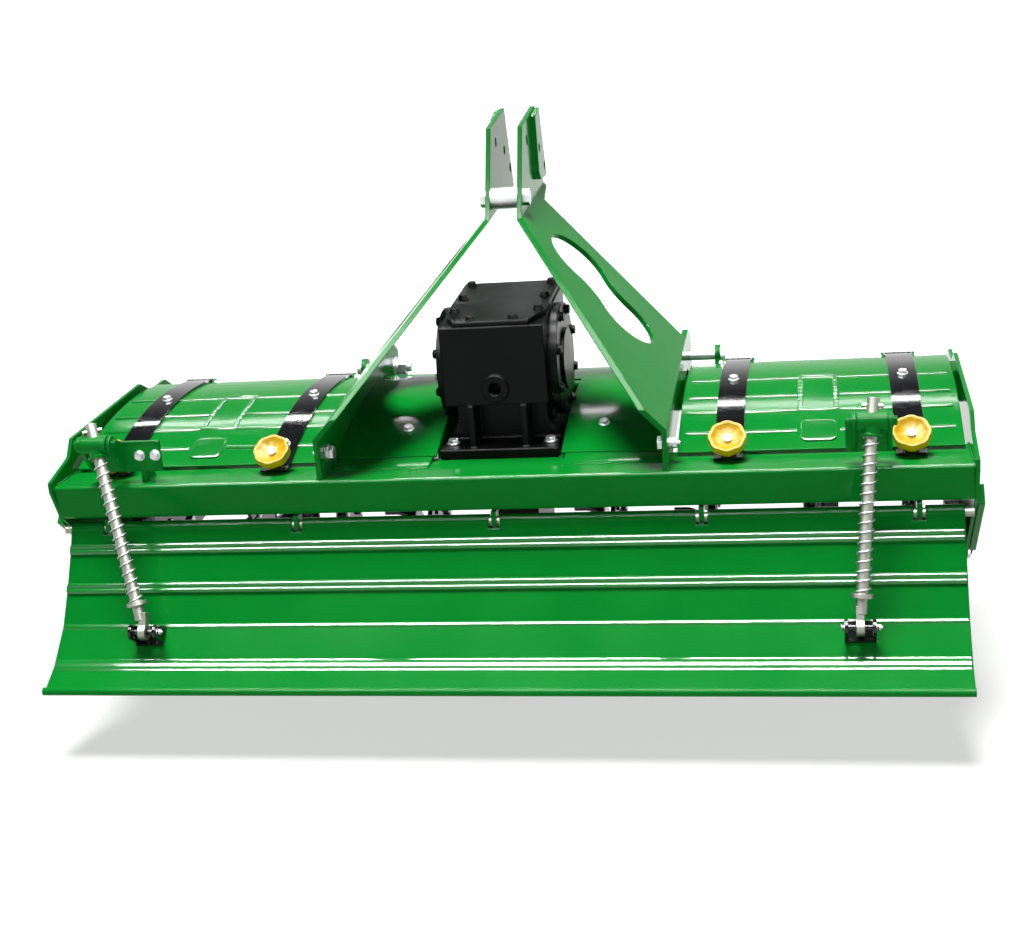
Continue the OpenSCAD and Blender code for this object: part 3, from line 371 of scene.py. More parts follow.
def nut_end():
    """Nut on a flat and a spring washer, with the bolt's end standing out."""
    ease, chamfer = 0.4 * MM, 1.1 * MM
    # Flat washer, spring washer, nut and bolt's end: radius, height, corners and bevel
    levels = (
        (WASHER_R, 2 * MM, 24, ease),
        (8.6 * MM, 2.4 * MM, 24, ease),
        (HEX_R, 8 * MM, 6, chamfer),
        (MODEL_THREAD / 2, 5 * MM, 24, chamfer),
    )
    top = 0.0
    piece = None
    for radius, height, corners, bevel in levels:
        form = dict(vertices=corners, radius=radius, depth=height, location=(0, 0, top + height / 2))
        if piece is None:
            piece = fresh("nut_end", bpy.ops.mesh.primitive_cylinder_add, **form)
            settle(piece)
            bpy.ops.object.mode_set(mode="EDIT")
        else:
            bpy.ops.mesh.primitive_cylinder_add(**form)
        top += height
        inside = 0.8 * radius
        bevelled(piece, lambda e: rim(top)(e) and middle(e).xy.length > inside, bevel, 2)
    bpy.ops.object.mode_set(mode="OBJECT")
    return piece


def plain_head():
    """Hexagon head without a washer, light enough for the many bolts of the rotor."""
    height, chamfer = 7 * MM, 1.2 * MM
    piece = fresh("plain_head", bpy.ops.mesh.primitive_cylinder_add, vertices=6, radius=HEX_R,
                  depth=height, location=(0, 0, height / 2))
    settle(piece)
    bpy.ops.object.mode_set(mode="EDIT")
    bevelled(piece, rim(height), chamfer, 1)
    bpy.ops.object.mode_set(mode="OBJECT")
    return piece


def fasteners(name, master, places, body, slot="zinc_plate"):
    """Bolts or nuts of one body at (point, outward direction, thread diameter)."""
    made = copies(name, master, [(p, d, thread / MODEL_THREAD) for p, d, thread in places])
    return dressed(made, body, slot)


def scrap(*masters):
    """Takes away the pieces that others were copied from."""
    for master in masters:
        bpy.data.objects.remove(master)


# Finishes


def add(tree, kind, inputs=None, **settings):
    """Adds a node with its settings, its values and its links."""
    made = tree.nodes.new(kind)
    for name, value in settings.items():
        setattr(made, name, value)
    for key, value in (inputs or {}).items():
        if isinstance(value, bpy.types.NodeSocket):
            tree.links.new(value, made.inputs[key])
        else:
            made.inputs[key].default_value = value
    return made


def blank(name):
    """A new material with a shader and the coordinates of the piece."""
    material = bpy.data.materials.new(name)
    material.use_nodes = True
    tree = material.node_tree
    shader = tree.nodes["Principled BSDF"]
    place = add(tree, "ShaderNodeTexCoord").outputs["Object"]
    return tree, shader, place


def shade(colour, factor):
    """A darker or lighter copy of a colour."""
    return [min(1.0, c * factor) for c in colour[:3]] + [1.0]


def noise(tree, place, size, detail):
    """Soft noise whose patches are about as wide as a size."""
    return add(tree, "ShaderNodeTexNoise",
               {"Vector": place, "Scale": 1 / size, "Detail": detail}).outputs["Fac"]


def soft_edge(tree, radius):
    """The normal of a face whose edges are rounded."""
    return add(tree, "ShaderNodeBevel", {"Radius": radius}, samples=4).outputs["Normal"]


def bumped(tree, normal, height, strength, depth):
    """A normal that follows the ups and downs of a height."""
    return add(tree, "ShaderNodeBump", {"Height": height, "Normal": normal, "Strength": strength,
                                        "Distance": depth}).outputs["Normal"]


def clouded(name, colour, patch, detail, tones, dulls):
    """A new material whose colour and roughness drift together, in patches, between two levels."""
    tree, shader, place = blank(name)
    cloud = noise(tree, place, patch, detail)
    dark, light = (shade(colour, tone) for tone in tones)
    tone = add(tree, "ShaderNodeMix", {0: cloud, 6: dark, 7: light}, data_type="RGBA")
    film = add(tree, "ShaderNodeMapRange", {"Value": cloud, "To Min": dulls[0], "To Max": dulls[1]})
    tree.links.new(tone.outputs[2], shader.inputs["Base Color"])
    tree.links.new(film.outputs["Result"], shader.inputs["Roughness"])
    return tree, shader, place


def gloss_enamel(name, colour, peel, edge, dull, gloss):
    """Stove enamel sprayed on steel: a hard gloss that wavers with the sheet, with a fine orange peel
    and a film that rounds every edge, so that each edge catches the light."""
    tree, shader, place = clouded(name, colour, patch=160 * MM, detail=3.0, tones=(0.88, 1.1),
                                  dulls=(dull, 2 * dull))
    sway = noise(tree, place, 120 * MM, detail=1.0)
    waver = bumped(tree, soft_edge(tree, edge), sway, strength=0.5, depth=1.6 * MM)
    grain = noise(tree, place, peel, detail=2.0)
    orange = bumped(tree, waver, grain, strength=0.12, depth=0.15 * MM)
    tree.links.new(orange, shader.inputs["Normal"])
    shader.inputs["IOR"].default_value = 1.5
    shader.inputs["Specular IOR Level"].default_value = gloss


def painted_casting(name, colour):
    """Sand-cast iron under satin paint: a grainy skin, soft edges and an uneven sheen."""
    tree, shader, place = clouded(name, colour, patch=60 * MM, detail=4.0, tones=(0.7, 1.5),
                                  dulls=(0.2, 0.42))
    grit = noise(tree, place, 3 * MM, detail=4.0)
    skin = bumped(tree, soft_edge(tree, 6 * MM), grit, strength=0.4, depth=0.35 * MM)
    tree.links.new(skin, shader.inputs["Normal"])
    shader.inputs["Specular IOR Level"].default_value = 0.07


def plated_metal(name, colour, patch, dull, edge):
    """Plated or drawn steel: bright metal, cloudy where the bath or the die left its mark."""
    tree, shader, _ = clouded(name, colour, patch, detail=4.0, tones=(0.72, 1.08),
                              dulls=(dull, dull + 0.16))
    tree.links.new(soft_edge(tree, edge), shader.inputs["Normal"])
    shader.inputs["Metallic"].default_value = 1.0


def moulded_plastic(name, colour):
    """Moulded ABS: an even, slightly soft gloss with a faint flow mark."""
    _, shader, _ = clouded(name, colour, patch=25 * MM, detail=2.0, tones=(0.9, 1.08), dulls=(0.26, 0.4))
    shader.inputs["IOR"].default_value = 1.53
    shader.inputs["Specular IOR Level"].default_value = 0.15


FINISH = {
    "green_paint": "gloss_enamel_green",
    "black_paint": "gloss_enamel_black",
    "black_casting": "painted_casting",
    "zinc_plate": "zinc_plated_steel",
    "bare_steel": "drawn_steel",
    "yellow_plastic": "moulded_plastic_yellow",
}
# The enamel runs thicker and glossier over pressed ridges
RIDGE_FINISH = "gloss_enamel_green_ridges"


class TILLER_OT_finishes(bpy.types.Operator):
    """Makes the finishes and gives one to every node of the frame"""

    bl_idname = "tiller.finishes"
    bl_label = "Finishes"

    def execute(self, context):
        paint = context.scene.tiller_paint
        gloss_enamel(FINISH["green_paint"], paint.green, peel=4 * MM, edge=4 * MM, dull=0.09,
                     gloss=0.05)
        gloss_enamel(RIDGE_FINISH, paint.green, peel=4 * MM, edge=1 * MM, dull=0.07, gloss=0.6)
        gloss_enamel(FINISH["black_paint"], paint.black, peel=3 * MM, edge=1.5 * MM, dull=0.05,
                     gloss=0.4)
        painted_casting(FINISH["black_casting"], paint.casting)
        plated_metal(FINISH["zinc_plate"], paint.zinc, patch=14 * MM, dull=0.28, edge=0.5 * MM)
        plated_metal(FINISH["bare_steel"], paint.steel, patch=30 * MM, dull=0.34, edge=1 * MM)
        moulded_plastic(FINISH["yellow_plastic"], paint.yellow)
        for part in frame["record"]["subparts"]:
            node = frame["nodes"][part["node"]]
            node.data.materials.clear()
            node.data.materials.append(bpy.data.materials[FINISH[part["material_slot"]]])
        return {"FINISHED"}


# Springs


class TILLER_OT_springs(bpy.types.Operator):
    """Winds a round-wire spring on each rod of the tail board"""

    bl_idname = "tiller.springs"
    bl_label = "Springs"

    def execute(self, context):
        spring = context.scene.tiller_springs
        wire_corners, turn_steps = 10, 28
        for side in SIDES:
            pivot, up, span = rod_line(side)
            foot = pivot - (span - spring.collar - spring.wire) * up
            height = span - spring.collar - spring.seat - 2 * spring.wire
            coil = fresh(f"spring_coil_{side}", bpy.ops.mesh.primitive_circle_add,
                         vertices=wire_corners, radius=spring.wire, location=(spring.coil, 0, 0),
                         rotation=(math.pi / 2, 0, 0))
            settle(coil)
            wind = coil.modifiers.new("wind", "SCREW")
            wind.axis = "Z"
            wind.iterations = spring.turns
            wind.screw_offset = height / spring.turns
            wind.steps = wind.render_steps = turn_steps
            wind.use_merge_vertices = False
            bpy.ops.object.modifier_apply(modifier=wind.name)
            bpy.ops.object.mode_set(mode="EDIT")
            bpy.ops.mesh.select_all(action="SELECT")
            bpy.ops.mesh.fill_holes(sides=0)
            bpy.ops.mesh.select_all(action="SELECT")
            bpy.ops.mesh.normals_make_consistent(inside=False)
            bpy.ops.object.mode_set(mode="OBJECT")
            coil.matrix_world = Matrix.LocRotScale(foot, up.to_track_quat("Z", "Y"), None)
            settle(coil)
            dressed(coil, f"{side}_rod", "zinc_plate", smooth=60)
            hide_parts(f"spring_{side}")
            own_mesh(coil)
        return {"FINISHED"}


# Clamp knobs


def knob_form(radius, head, neck):
    """Dished knob with eight lobes on a tapered neck, standing on the XY plane."""
    lobes, corners = 8, 32
    valley, foot, foot_edge = 0.93, 0.72, 0.05
    # Steps inwards and up or down, as shares of the radius and the head: below, and in the dish on top
    hollow = 0.12
    below = ((0.1, 0), (0.35, -hollow))
    dish = ((0.07, 0), (0.1, 0), (0.14, -0.26), (0.3, -0.2), (0.06, 0))
    piece = fresh("knob_form", bpy.ops.mesh.primitive_cylinder_add, vertices=corners, radius=radius,
                  depth=head, location=(0, 0, neck + head / 2))
    settle(piece)
    bpy.ops.object.mode_set(mode="EDIT")

    def in_valley(v):
        turn = math.atan2(v.co.y, v.co.x) * lobes / math.tau + 0.5
        return abs(turn - round(turn)) < 0.1

    pick(piece, "VERT", in_valley)
    bpy.ops.transform.resize(value=(valley, valley, 1))
    pick(piece, "FACE", lambda f: f.normal.z < -0.9)
    for width, depth in below:
        bpy.ops.mesh.inset(thickness=width * radius, depth=depth * head)
    bpy.ops.mesh.extrude_region_move(TRANSFORM_OT_translate={"value": (0, 0, -neck - hollow * head)})
    bpy.ops.transform.resize(value=(foot, foot, 1))
    bpy.ops.mesh.inset(thickness=foot_edge * radius)
    pick(piece, "FACE", lambda f: f.normal.z > 0.9 and middle(f).z > neck + 0.9 * head)
    for width, depth in dish:
        bpy.ops.mesh.inset(thickness=width * radius, depth=depth * head)
    bpy.ops.object.mode_set(mode="OBJECT")
    smooth = piece.modifiers.new("smooth", "SUBSURF")
    smooth.levels = smooth.render_levels = 2
    bpy.ops.object.modifier_apply(modifier=smooth.name)
    return piece


def knob_stud(radius, length):
    """Round stud with a chamfered tip, hanging from the XY plane."""
    piece = fresh("knob_stud", bpy.ops.mesh.primitive_cylinder_add, vertices=24, radius=radius,
                  depth=length, location=(0, 0, -length / 2))
    settle(piece)
    bpy.ops.object.mode_set(mode="EDIT")
    bevelled(piece, rim(-length), 0.25 * radius, 2)
    bpy.ops.object.mode_set(mode="OBJECT")
    return piece


class TILLER_OT_knobs(bpy.types.Operator):
    """Models the dished clamp knobs with their studs and screws"""

    bl_idname = "tiller.knobs"
    bl_label = "Clamp knobs"

    def execute(self, context):
        knob = context.scene.tiller_knobs
        thread = context.scene.tiller_fasteners
        seat_y, stud_r, lean = 71, 5.5 * MM, 15
        up = hood_out(seat_y, STRAP_TOP)
        tip = Matrix.Rotation(math.radians(lean), 3, "X")
        pivot = 0.5 * knob.neck
        dish = knob.neck + 0.66 * knob.head
        form = knob_form(knob.radius, knob.head, knob.neck)
        stud = knob_stud(stud_r, knob.stud)
        screw = bolt_head()
        for side in SIDES:
            low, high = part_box(f"knobs_{side}")
            seats = [at(x / MM, seat_y, hood_rise(seat_y, STRAP_TOP))
                     for x in (low.x + knob.radius, high.x - knob.radius)]
            feet = [seat + pivot * (up - tip @ up) for seat in seats]
            knobs = copies(f"clamp_knobs_{side}", form, [(foot, tip @ up, 1.0) for foot in feet])
            dressed(knobs, f"{side}_lid", "yellow_plastic", smooth=50)
            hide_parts(f"knobs_{side}")
            studs = copies(f"knob_studs_{side}", stud, [(seat, up, 1.0) for seat in seats])
            dressed(studs, f"{side}_lid", "zinc_plate")
            fasteners(f"knob_screws_{side}", screw, [
                (foot + dish * (tip @ up), tip @ up, 0.75 * thread.small)
                for foot in feet], f"{side}_lid")
        scrap(form, stud, screw)
        return {"FINISHED"}


# Covers


class TILLER_OT_pressings(bpy.types.Operator):
    """Presses beads and raised panels into the hood's covers"""

    bl_idname = "tiller.pressings"
    bl_label = "Cover pressings"

    def execute(self, context):
        press = context.scene.tiller_press
        panel_x, panel_half, panel_gap = 617, 34, 6
        short_y, short_depth = 133, 70
        tall_rear, tall_first, tall_front = 206, 214, 372
        # Distance of each bead ahead of the beam's rear edge, and whether it stops at the panels
        beads = {358: False, 266: True, 204: True, 134: True}
        edge, sink = 12 * MM, 0.4 * MM
        step, lap = 18, 2
        ease = 0.9 * press.bead_height
        for side, sign in SIDES.items():
            low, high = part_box(f"cover_{side}")
            made = []
            for y, split in beads.items():
                runs = [(low.x + edge, high.x - edge)]
                if split:
                    gap = sorted(sign * (panel_x + s * (panel_half + panel_gap)) * MM for s in (-1, 1))
                    runs = [(low.x + edge, gap[0]), (gap[1], high.x - edge)]
                for start, end in runs:
                    bead = bar("bead", (end - start, press.bead_width, press.bead_height), ease)
                    made.append(self.laid(bead, (start + end) / 2 / MM, y, sink))
            panel = self.panel(2 * panel_half * MM, short_depth * MM, press.panel_height)
            made.append(self.laid(panel, sign * panel_x, short_y, sink))
            side_size = (press.bead_width, (step + lap) * MM, press.bead_height)
            for across in (-panel_half, panel_half):
                for y in range(tall_first, tall_front, step):
                    made.append(self.laid(bar("panel_side", side_size, ease),
                                          sign * panel_x + across, y, sink))
            end_size = (2 * panel_half * MM, press.bead_width, press.bead_height)
            for y in (tall_rear, tall_front):
                made.append(self.laid(bar("panel_end", end_size, ease), sign * panel_x, y, sink))
            dressed(fused(f"cover_pressings_{side}", made), f"{side}_lid", "green_paint", smooth=60,
                    finish=RIDGE_FINISH)
        return {"FINISHED"}

    def laid(self, piece, x, y, sink):
        """Lays a piece on the cover's outer face."""
        out = hood_out(y)
        piece.matrix_world = Matrix.Translation(at(x, y, hood_rise(y)) - sink * out) @ Matrix.Rotation(
            -math.atan2(out.y, out.z), 4, "X")
        settle(piece)
        return piece

    def panel(self, width, depth, height):
        """Raised panel with round corners and a soft shoulder."""
        corner, shoulder = 14 * MM, 0.9 * height
        piece = fresh("panel", bpy.ops.mesh.primitive_cube_add, size=1, location=(0, 0, height / 2),
                      scale=(width, depth, height))
        settle(piece)
        bpy.ops.object.mode_set(mode="EDIT")
        bevelled(piece, lambda e: abs(e.verts[0].co.z - e.verts[1].co.z) > 0.5 * height, corner, 6)
        bevelled(piece, rim(height), shoulder, 4)
        bpy.ops.object.mode_set(mode="OBJECT")
        return piece


def roll(name, length, radius, height):
    """A long round ridge along X, lying on the XY plane: the cap of a cylinder."""
    piece = fresh(name, bpy.ops.mesh.primitive_cylinder_add, vertices=96, radius=radius, depth=length,
                  rotation=(0, math.pi / 2, 0))
    settle(piece)
    bpy.ops.object.mode_set(mode="EDIT")
    bpy.ops.mesh.select_all(action="SELECT")
    bpy.ops.mesh.bisect(plane_co=(0, 0, radius - height), plane_no=(0, 0, 1), use_fill=True,
                        clear_inner=True)
    bpy.ops.mesh.select_all(action="SELECT")
    bpy.ops.transform.translate(value=(0, 0, height - radius))
    bpy.ops.object.mode_set(mode="OBJECT")
    return piece


class TILLER_OT_tail_ridges(bpy.types.Operator):
    """Rounds the beads and the lower bends of the tail board"""

    bl_idname = "tiller.tail_ridges"
    bl_label = "Tail ridges"

    def execute(self, context):
        low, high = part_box("tail_board")
        end_gap, sink = 3 * MM, 1
        length = high.x - low.x - 2 * end_gap
        upper_out, lower_out = (-0.886, 0.464), (-0.85, 0.527)
        # Two pairs of beads, the middle bend and the lowest: place, outward direction, radius, height
        ridges = [
            (-23.2, -125.2, upper_out, 7, 3), (-28.3, -134.9, upper_out, 7, 3),
            (-62.6, -194.1, lower_out, 7, 3), (-68.4, -203.5, lower_out, 7, 3),
            (-105, -266, (-0.763, 0.646), 12, 3),
            (-166, -323, (-0.594, 0.804), 50, 4.5)]
        made = []
        for y, rise, (out_y, out_z), radius, height in ridges:
            ridge = roll("tail_ridge", length, radius * MM, height * MM)
            spot = at(0, y - sink * out_y, rise - sink * out_z)
            lean = math.atan2(-out_y, out_z)
            ridge.matrix_world = Matrix.Translation(spot) @ Matrix.Rotation(lean, 4, "X")
            settle(ridge)
            made.append(ridge)
        dressed(fused("tail_ridges", made), "tail", "green_paint", smooth=60, finish=RIDGE_FINISH)
        return {"FINISHED"}


class TILLER_OT_deck_lips(bpy.types.Operator):
    """Folds the middle deck's rear edge down to the beam, on both sides of the gearbox"""

    bl_idname = "tiller.deck_lips"
    bl_label = "Deck lips"

    def execute(self, context):
        mast_gap, ease = 12, 0.4 * MM
        inner, outer = 133, MAST_X - mast_gap
        rear, front, edge, slope = 44, 96, 0.4, 0.22
        height = edge + slope * (front - rear)
        lips = []
        for sign in SIDES.values():
            size = Vector((outer - inner, front - rear, height)) * MM
            lip = bar("deck_lip", size, ease)
            bpy.ops.object.mode_set(mode="EDIT")
            pick(lip, "VERT", lambda v: v.co.y < 0 and v.co.z > edge * MM)
            bpy.ops.transform.translate(value=(0, 0, (edge - height) * MM))
            bpy.ops.object.mode_set(mode="OBJECT")
            middle_x, middle_y = (inner + outer) / 2, (rear + front) / 2
            lip.matrix_world = Matrix.Translation(at(sign * middle_x, middle_y, 0))
            settle(lip)
            lips.append(lip)
        dressed(fused("deck_lips", lips), "frame", "green_paint", smooth=60)
        return {"FINISHED"}


# Bolts


class TILLER_OT_bolts(bpy.types.Operator):
    """Sets the bolts and nuts of frame, gearbox, covers, rods and tail board"""

    bl_idname = "tiller.bolts"
    bl_label = "Bolts"

    def execute(self, context):
        thread = context.scene.tiller_fasteners
        head, nut = bolt_head(), nut_end()
        self.frame_bolts(thread, head, nut)
        self.gearbox_bolts(thread, head)
        self.cover_bolts(thread, head, nut)
        self.rod_bolts(thread, head, nut)
        scrap(head, nut)
        return {"FINISHED"}

    def frame_bolts(self, thread, head, nut):
        """Mast feet, hitch pins, deck and bearing housings."""
        inner = MAST_X - MAST_T
        foot_y, foot_rise = 43, 38
        fasteners("mast_bolts", head, [
            (at(s * inner, foot_y, foot_rise), (-s, 0, 0), thread.large)
            for s in SIDES.values()], "frame")
        fasteners("mast_nuts", nut, [
            (at(s * MAST_X, foot_y, foot_rise), (s, 0, 0), 0.7 * thread.large)
            for s in SIDES.values()], "frame")
        pin = box_middle("hitch_pin_right")
        fasteners("hitch_nuts", nut, [
            (Vector((s * inner * MM, pin.y, pin.z)), (-s, 0, 0), thread.hitch)
            for s in SIDES.values()], "frame")
        deck_x, deck_ys = 200, (180, 480)
        fasteners("deck_bolts", head, [
            (at(s * deck_x, y, hood_rise(y)), hood_out(y), thread.small)
            for s in SIDES.values() for y in deck_ys], "frame")
        housing = box_middle("bearing_right")
        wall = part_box("side_plate_right")[1].x
        ring, angles = 66 * MM, (30, 90, 150, 210, 330)
        fasteners("bearing_bolts", head, [
            (spot, (s, 0, 0), thread.small) for s in SIDES.values()
            for spot in circle(Vector((s * wall, housing.y, housing.z)), ring, angles, (0, 1, 0))],
            "frame")

    def gearbox_bolts(self, thread, head):
        """Top cover, side covers, foot and input cap."""
        top_edge, side_edge, side_t, cap_edge = 16 * MM, 12 * MM, 6 * MM, 11 * MM
        low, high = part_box("gearbox_top_cover")
        slope = math.radians(5.9)
        top_out = Vector((0, -math.sin(slope), math.cos(slope)))
        side_x, depth = high.x - top_edge, high.y - low.y
        # Three along each side and one behind, as shares of the cover's depth from its rear
        spots = [(side_x, low.y + share * depth) for share in (0.27, 0.6, 0.94)]
        spots.append((0.5 * side_x, low.y + 0.06 * depth))
        fasteners("gearbox_top_bolts", head, [
            (Vector((s * x, y, high.z - (high.y - y) * math.tan(slope))), top_out, thread.small)
            for s in SIDES.values() for x, y in spots], "frame", "black_casting")
        low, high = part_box("gearbox_cover_right")
        hub = box_middle("gearbox_cover_right")
        ring, face = (high.z - low.z) / 2 - side_edge, high.x - side_t
        angles = [22.5 + 45 * k for k in range(8)]
        fasteners("gearbox_side_bolts", head, [
            (spot, (s, 0, 0), thread.small) for s in SIDES.values()
            for spot in circle(Vector((s * face, hub.y, hub.z)), ring, angles, (0, 1, 0))],
            "frame", "black_casting")
        foot_x, foot_ys, foot_t = 98, (136, 352), 23
        fasteners("gearbox_foot_bolts", head, [
            (at(s * foot_x, y, foot_t), (0, 0, 1), thread.medium)
            for s in SIDES.values() for y in foot_ys], "frame")
        low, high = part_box("input_cap")
        hub = box_middle("input_cap")
        ring = (high.z - low.z) / 2 - cap_edge
        fasteners("input_cap_bolts", head, [
            (spot, (0, 1, 0), 0.8 * thread.small)
            for spot in circle(Vector((hub.x, high.y, hub.z)), ring, range(0, 360, 60), (1, 0, 0))],
            "frame")

    def cover_bolts(self, thread, head, nut):
        """Two bolts on each strap of the covers, and the bolt of each hinge."""
        bolt_ys = (350, 132)
        hinge_y, hinge_rise, ear_out = 556, 66, 34.5
        hinge_thread = 0.8 * thread.small
        for side in SIDES:
            low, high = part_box(f"straps_{side}")
            straps = (low.x / MM + STRAP_HALF, high.x / MM - STRAP_HALF)
            fasteners(f"strap_bolts_{side}", head, [
                (at(x, y, hood_rise(y, STRAP_TOP)), hood_out(y), thread.small)
                for x in straps for y in bolt_ys], f"{side}_lid")
            fasteners(f"hinge_bolts_{side}", head, [
                (at(x - ear_out, hinge_y, hinge_rise), (-1, 0, 0), hinge_thread)
                for x in straps], "frame")
            fasteners(f"hinge_nuts_{side}", nut, [
                (at(x + ear_out, hinge_y, hinge_rise), (1, 0, 0), hinge_thread)
                for x in straps], "frame")

    def rod_bolts(self, thread, head, nut):
        """Pivots of the sleeves and clevises, and the bolts of the left bracket."""
        sunk, clevis_thread = 4 * MM, 0.6 * thread.small
        for side in SIDES:
            pivot, up, span = rod_line(side)
            eye = pivot - span * up
            low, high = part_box(f"sleeve_{side}")
            fasteners(f"sleeve_bolts_{side}", head, [
                (Vector((low.x, pivot.y, pivot.z)), (-1, 0, 0), thread.small),
                (Vector((high.x, pivot.y, pivot.z)), (1, 0, 0), thread.small)],
                f"{side}_sleeve", "green_paint")
            low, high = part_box(f"tail_clevis_{side}")
            fasteners(f"clevis_bolt_{side}", head, [
                (Vector((low.x + sunk, eye.y, eye.z)), (-1, 0, 0), clevis_thread)], "tail")
            fasteners(f"clevis_nut_{side}", nut, [
                (Vector((high.x - sunk, eye.y, eye.z)), (1, 0, 0), clevis_thread)], "tail")
        face_y, bolt_rise, bolt_xs = 4, 55, (-708, -675)
        fasteners("bracket_bolts", head, [
            (at(x, face_y, bolt_rise), (0, -1, 0), thread.small) for x in bolt_xs], "frame")


class TILLER_OT_tine_bolts(bpy.types.Operator):
    """Bolts each tine to its flange"""

    bl_idname = "tiller.tine_bolts"
    bl_label = "Tine bolts"

    def execute(self, context):
        thread = context.scene.tiller_fasteners
        head = plain_head()
        flanges, tines = 4, 6
        first, last = 195, 795
        half_t = 5 * MM
        ring, spread = 78 * MM, math.radians(8)
        centre = Vector(joint("rotor_spin")["pos_m"])
        for side, sign in SIDES.items():
            places = []
            for i in range(flanges):
                x = sign * (first + (last - first) * i / (flanges - 1)) * MM
                for k in range(tines):
                    for lean in (-spread, spread):
                        a = math.tau * (k / tines + i / tines / flanges) + lean
                        spot = Vector((x, centre.y - ring * math.sin(a), centre.z + ring * math.cos(a)))
                        for face in (-1, 1):
                            places.append((spot + Vector((face * half_t, 0, 0)), (face, 0, 0),
                                           thread.medium))
            fasteners(f"tine_bolts_{side}", head, places, "rotor")
        scrap(head)
        return {"FINISHED"}


# Welds


class TILLER_OT_welds(bpy.types.Operator):
    """Lays weld beads where plates meet the beams"""

    bl_idname = "tiller.welds"
    bl_label = "Welds"

    def execute(self, context):
        hitch_low, hitch_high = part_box("hitch_plate_right")
        # Mast, hitch plates, rod brackets and side plates: faces, rear and front end of the bead, rise
        rows = (
            ((MAST_X, MAST_X - MAST_T), -8, 70, 0),
            ((hitch_low.x / MM, hitch_high.x / MM), 574, 622, FRONT_TOP_RISE),
            ((700, 710), 14, 50, 0),
            ((892,), 2, 118, 0),
        )
        made = [self.run(at(s * x, rear, rise), at(s * x, front, rise))
                for s in SIDES.values() for faces, rear, front, rise in rows for x in faces]
        dressed(fused("weld_beads", made), "frame", "green_paint", smooth=60)
        return {"FINISHED"}

    def run(self, start, end):
        """A weld bead: overlapping drops in a row."""
        drop, flat, step = 3.2 * MM, (1, 0.75, 0.8), 3 * MM
        piece = fresh("weld", bpy.ops.mesh.primitive_uv_sphere_add, segments=10, ring_count=6,
                      radius=drop)
        bpy.ops.object.mode_set(mode="EDIT")
        bpy.ops.mesh.select_all(action="SELECT")
        bpy.ops.transform.resize(value=flat)
        bpy.ops.object.mode_set(mode="OBJECT")
        row = piece.modifiers.new("row", "ARRAY")
        row.count = max(2, round((end - start).length / step))
        row.use_relative_offset = False
        row.use_constant_offset = True
        row.constant_offset_displace = (0, step, 0)
        bpy.ops.object.modifier_apply(modifier=row.name)
        piece.matrix_world = Matrix.LocRotScale(start, (end - start).to_track_quat("Y", "Z"), None)
        settle(piece)
        return piece


# Stage


# How bright the floor shows near the machine, and the distances between which it turns white
FLOOR_GLOW = 0.6
WHITE_FROM, WHITE_AT = 1.2, 4.0
# Colour of the ceiling, and the heights between which the white walls turn into it
CEILING = linear("3C3E40")
WALL_TOP, CEILING_EDGE = 0.2, 0.55
# Width of the floor, and how far the camera sees
FAR = 200


